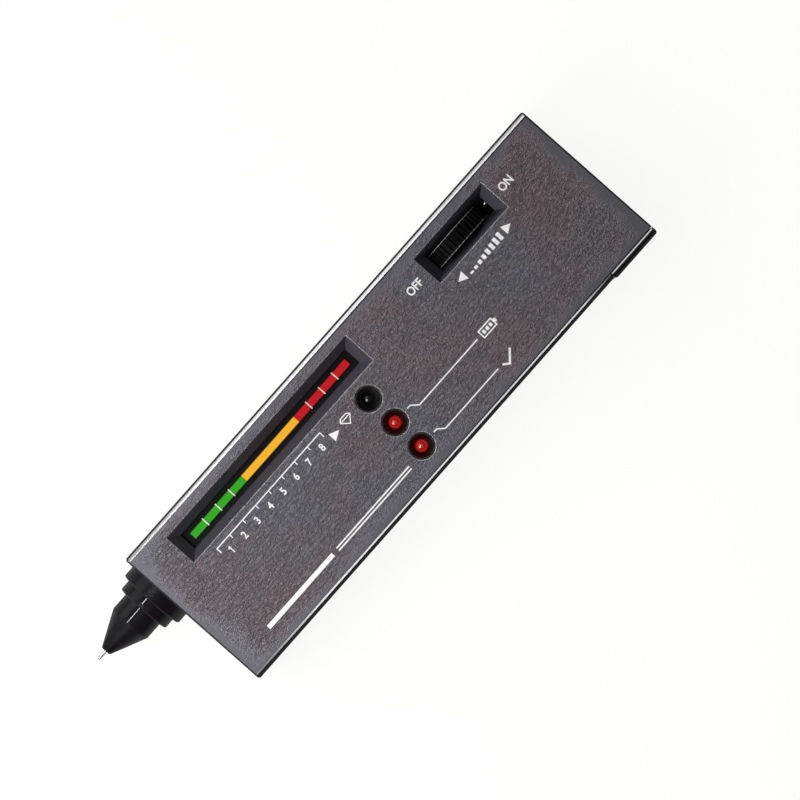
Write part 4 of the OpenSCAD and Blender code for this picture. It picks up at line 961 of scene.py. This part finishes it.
def bridge(shape, node, gaps, width, lap, height, lift):
    """Blocks over some gaps of a row of lamps, with their middles this far above the lamps."""
    low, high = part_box(node)
    pitch = (high.x - low.x + LAMP_GAP) / LAMPS
    for i in gaps:
        block = bmesh.ops.create_cube(shape, size=1.0)["verts"]
        bmesh.ops.scale(shape, verts=block, vec=(width, high.y - low.y + 2 * lap, height))
        middle = Vector((low.x + i * pitch - LAMP_GAP / 2, (low.y + high.y) / 2, high.z + lift))
        bmesh.ops.translate(shape, verts=block, vec=middle)


divider_shape = bmesh.new()
for node in ("green_bar_lamps", "red_bar_lamps"):
    bridge(divider_shape, node, range(1, LAMPS), BEAD_W, BEAD_OVER, BEAD_H, BEAD_H / 2)
# painted highlight: the beads' pale colour stands for the glints on the lamps' ends
divider_glint_white = tinted_finish("divider_glint_white", (236, 232, 222), (218, 214, 204), 0.35, 2.0, 0.002)
new_piece("lamp_dividers", divider_shape, divider_glint_white, "case")

joint_shape = bmesh.new()
bridge(joint_shape, "amber_bar_lamps", range(LAMPS + 1), LAMP_GAP, 0.0, FILL_H, -FILL_SUNK)
new_piece("amber_joints", joint_shape, amber_lamp, "case")

# %% [markdown]
# ## Dust cap of the sounder
# The first cup is the sounder's mouth. A small glossy dome of pressed gauze sits low in it and keeps
# dust out. It is a lathe shape: rings of points, stitched together, that close at the top.

# %% Press the dust cap
def circle(count):
    """Evenly spaced points of a circle, as cosines and sines."""
    turns = [2 * math.pi * k / count for k in range(count)]
    return [(math.cos(turn), math.sin(turn)) for turn in turns]


def stitch(shape, rings):
    """Smooth faces from each ring of points to the next."""
    for near, far in zip(rings, rings[1:]):
        for k in range(len(near)):
            shape.faces.new((near[k - 1], near[k], far[k], far[k - 1])).smooth = True


CAP_R, CAP_H, CAP_SUNK, CAP_RINGS, CAP_SIDES = 1.3, 0.85, 2.6, 8, 32
cup_low, cup_high = [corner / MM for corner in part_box("sounder_cup")]
cap_at = Vector(((cup_low.x + cup_high.x) / 2, (cup_low.y + cup_high.y) / 2, cup_high.z - CAP_SUNK))
cap_shape = bmesh.new()
cap_rings = []
for i in range(CAP_RINGS):
    climb = math.pi / 2 * i / CAP_RINGS
    r, z = CAP_R * math.cos(climb), CAP_H * math.sin(climb)
    ring = [cap_at + Vector((r * c, r * s, z)) for c, s in circle(CAP_SIDES)]
    cap_rings.append([cap_shape.verts.new(spot * MM) for spot in ring])
stitch(cap_shape, cap_rings)
cap_top = cap_shape.verts.new((cap_at + Vector((0, 0, CAP_H))) * MM)
for k in range(CAP_SIDES):
    cap_shape.faces.new((cap_rings[-1][k - 1], cap_rings[-1][k], cap_top)).smooth = True
cap_shape.faces.new(cap_rings[0])
cap_black = black_finish("cap_black", (12, 11, 11), 0.08, 0.006, lumps_per_mm=5.0, shine=0.6)
new_piece("sounder_dust_cap", cap_shape, cap_black, "case")

# %% [markdown]
# ## Stop pin
# A bright spot shines at the rear end of the thumbwheel's slot, where a small steel pin stands out of
# the end wall. It is a lathe shape as well, lying along the case: a short shank that is sunk in the wall
# and a rounded head.

# %% Set the stop pin
PIN_AT, PIN_R, PIN_SIDES = Vector((46.95, 12.8, 18.2)), 0.3, 16
PIN_PROFILE = ((-0.4, 1.0), (0.35, 1.0), (0.55, 0.92), (0.68, 0.7), (0.75, 0.3))
pin_shape = bmesh.new()
pin_rings = []
for reach, share in PIN_PROFILE:
    ring = [PIN_AT + Vector((-reach, PIN_R * share * c, PIN_R * share * s)) for c, s in circle(PIN_SIDES)]
    pin_rings.append([pin_shape.verts.new(spot * MM) for spot in ring])
stitch(pin_shape, pin_rings)
pin_shape.faces.new(pin_rings[0])
pin_shape.faces.new(pin_rings[-1])
pin_steel = metal_finish("pin_steel", (235, 233, 230), 0.3)
new_piece("wheel_stop_pin", pin_shape, pin_steel, "case")

# %% [markdown]
# ## Wires
# Two vinyl leads bring the battery to the board and two thin ones come from the heater behind the
# needle. A wire bends in smooth arcs and has a round section, so each is a ring of points carried
# along a route whose corners are rounded.

# %% Draw the wires
def rounded_route(points, bend, steps=7):
    """The route through these points in millimetres, with arcs of one radius in its corners."""
    spots = [Vector(p) for p in points]
    route = [spots[0]]
    for before, corner, after in zip(spots, spots[1:], spots[2:]):
        a, b = (before - corner).normalized(), (after - corner).normalized()
        half = a.angle(b) / 2
        reach = bend / math.tan(half)
        centre = corner + (a + b).normalized() * (bend / math.sin(half))
        start, end = corner + a * reach - centre, corner + b * reach - centre
        route += [centre + start.slerp(end, i / steps) for i in range(steps + 1)]
    return route + [spots[-1]]


def round_wire(shape, route, radius, sides=12):
    """A closed round tube along a route in millimetres."""
    side = (route[1] - route[0]).orthogonal().normalized()
    rings = []
    for i, spot in enumerate(route):
        along = (route[min(i + 1, len(route) - 1)] - route[max(i - 1, 0)]).normalized()
        side = (side - along * side.dot(along)).normalized()
        other = along.cross(side)
        ring = [spot + (side * c + other * s) * radius for c, s in circle(sides)]
        rings.append([shape.verts.new(point * MM) for point in ring])
    stitch(shape, rings)
    shape.faces.new(rings[0][::-1])
    shape.faces.new(rings[-1])


LEADS = (("red_lead", -11.2, red_vinyl, "red_wire"), ("black_lead", 1.5, black_vinyl, "black_wire"))
LEAD_R, LEAD_BEND, PROBE_LEAD_R, PROBE_LEAD_BEND = 0.65, 1.1, 0.3, 1.2
for name, y, finish, slot in LEADS:
    wire_shape = bmesh.new()
    stops = [(15.75, y, 17.5), (15.75, y, 18.7), (10.6, y, 18.7), (10.6, y, 6.5)]
    round_wire(wire_shape, rounded_route(stops, LEAD_BEND), LEAD_R)
    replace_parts(new_piece(name + "_wire", wire_shape, finish, "case"), name)

NOSE_Y, NOSE_Z = 10, 11
wire_shape = bmesh.new()
for side in (-1, 1):
    y_probe, y_pad = NOSE_Y + side * 1.3125, 8.5 + side * 1.2
    stops = [(-59.9, y_probe, NOSE_Z), (-57.2, y_probe, NOSE_Z), (-53.8, y_pad, 8.5), (-53.8, y_pad, 6.5)]
    round_wire(wire_shape, rounded_route(stops, PROBE_LEAD_BEND), PROBE_LEAD_R)
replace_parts(new_piece("probe_lead_wires", wire_shape, orange_vinyl, "case"), "probe_leads")

# %% [markdown]
# ## Spring
# A small wire spring stands behind the needle, and in the real tester it is pressed shorter when the needle
# goes in. Here it is wound once, at its length at rest, and rides with the case. When the needle is pressed
# in, the spring gets shorter
# by the same travel, while its rear end stays where it is.

# %% Wind the spring
SPRING_R, SPRING_WIRE, SPRING_TURNS = 1.325, 0.35, 7
SPRING_STEPS = SPRING_TURNS * 24
spring_low, spring_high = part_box("probe_spring")
SPRING_X = (spring_low.x / MM + SPRING_WIRE / 2, spring_high.x / MM - SPRING_WIRE / 2)
spring_route = []
for i in range(SPRING_STEPS + 1):
    share = i / SPRING_STEPS
    turn = 2 * math.pi * SPRING_TURNS * share
    spring_route.append(Vector((
        SPRING_X[0] + share * (SPRING_X[1] - SPRING_X[0]),
        NOSE_Y + SPRING_R * math.cos(turn), NOSE_Z + SPRING_R * math.sin(turn))))
spring_shape = bmesh.new()
round_wire(spring_shape, spring_route, SPRING_WIRE / 2, sides=8)
spring = new_piece("spring_coil", spring_shape, spring_steel, "case")
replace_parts(spring, "probe_spring")
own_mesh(spring)

# %% [markdown]
# ## Foam pad
# A strip of foam keeps the battery from rattling. It is cut from a sheet and squeezed between the
# battery and the case, so its faces are flat and its sides swell between them.

# %% Cut the foam pad
pad_low, pad_high = [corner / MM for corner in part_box("battery_pad")]
PAD_CORNER, PAD_SWELL, PAD_STEPS = 1.5, 0.32, 8


def pad_outline(inset):
    """The pad's rounded outline, drawn in by this much."""
    r = PAD_CORNER - inset
    x0, x1 = pad_low.x + PAD_CORNER, pad_high.x - PAD_CORNER
    y0, y1 = pad_low.y + PAD_CORNER, pad_high.y - PAD_CORNER
    outline = []
    for quarter, (x, y) in enumerate(((x1, y1), (x0, y1), (x0, y0), (x1, y0))):
        for step in range(PAD_STEPS + 1):
            a = math.pi / 2 * (quarter + step / PAD_STEPS)
            outline.append((x + r * math.cos(a), y + r * math.sin(a)))
    return outline


pad_shape = bmesh.new()
pad_rings = []
for step in range(PAD_STEPS + 1):
    lift = step / PAD_STEPS
    z = pad_low.z + lift * (pad_high.z - pad_low.z)
    outline = pad_outline(PAD_SWELL * (2 * lift - 1) ** 2)
    pad_rings.append([pad_shape.verts.new((x * MM, y * MM, z * MM)) for x, y in outline])
stitch(pad_shape, pad_rings)
pad_shape.faces.new(pad_rings[0])
pad_shape.faces.new(pad_rings[-1])
pad = new_piece("foam_pad", pad_shape, foam_grey, "case")
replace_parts(pad, "battery_pad")
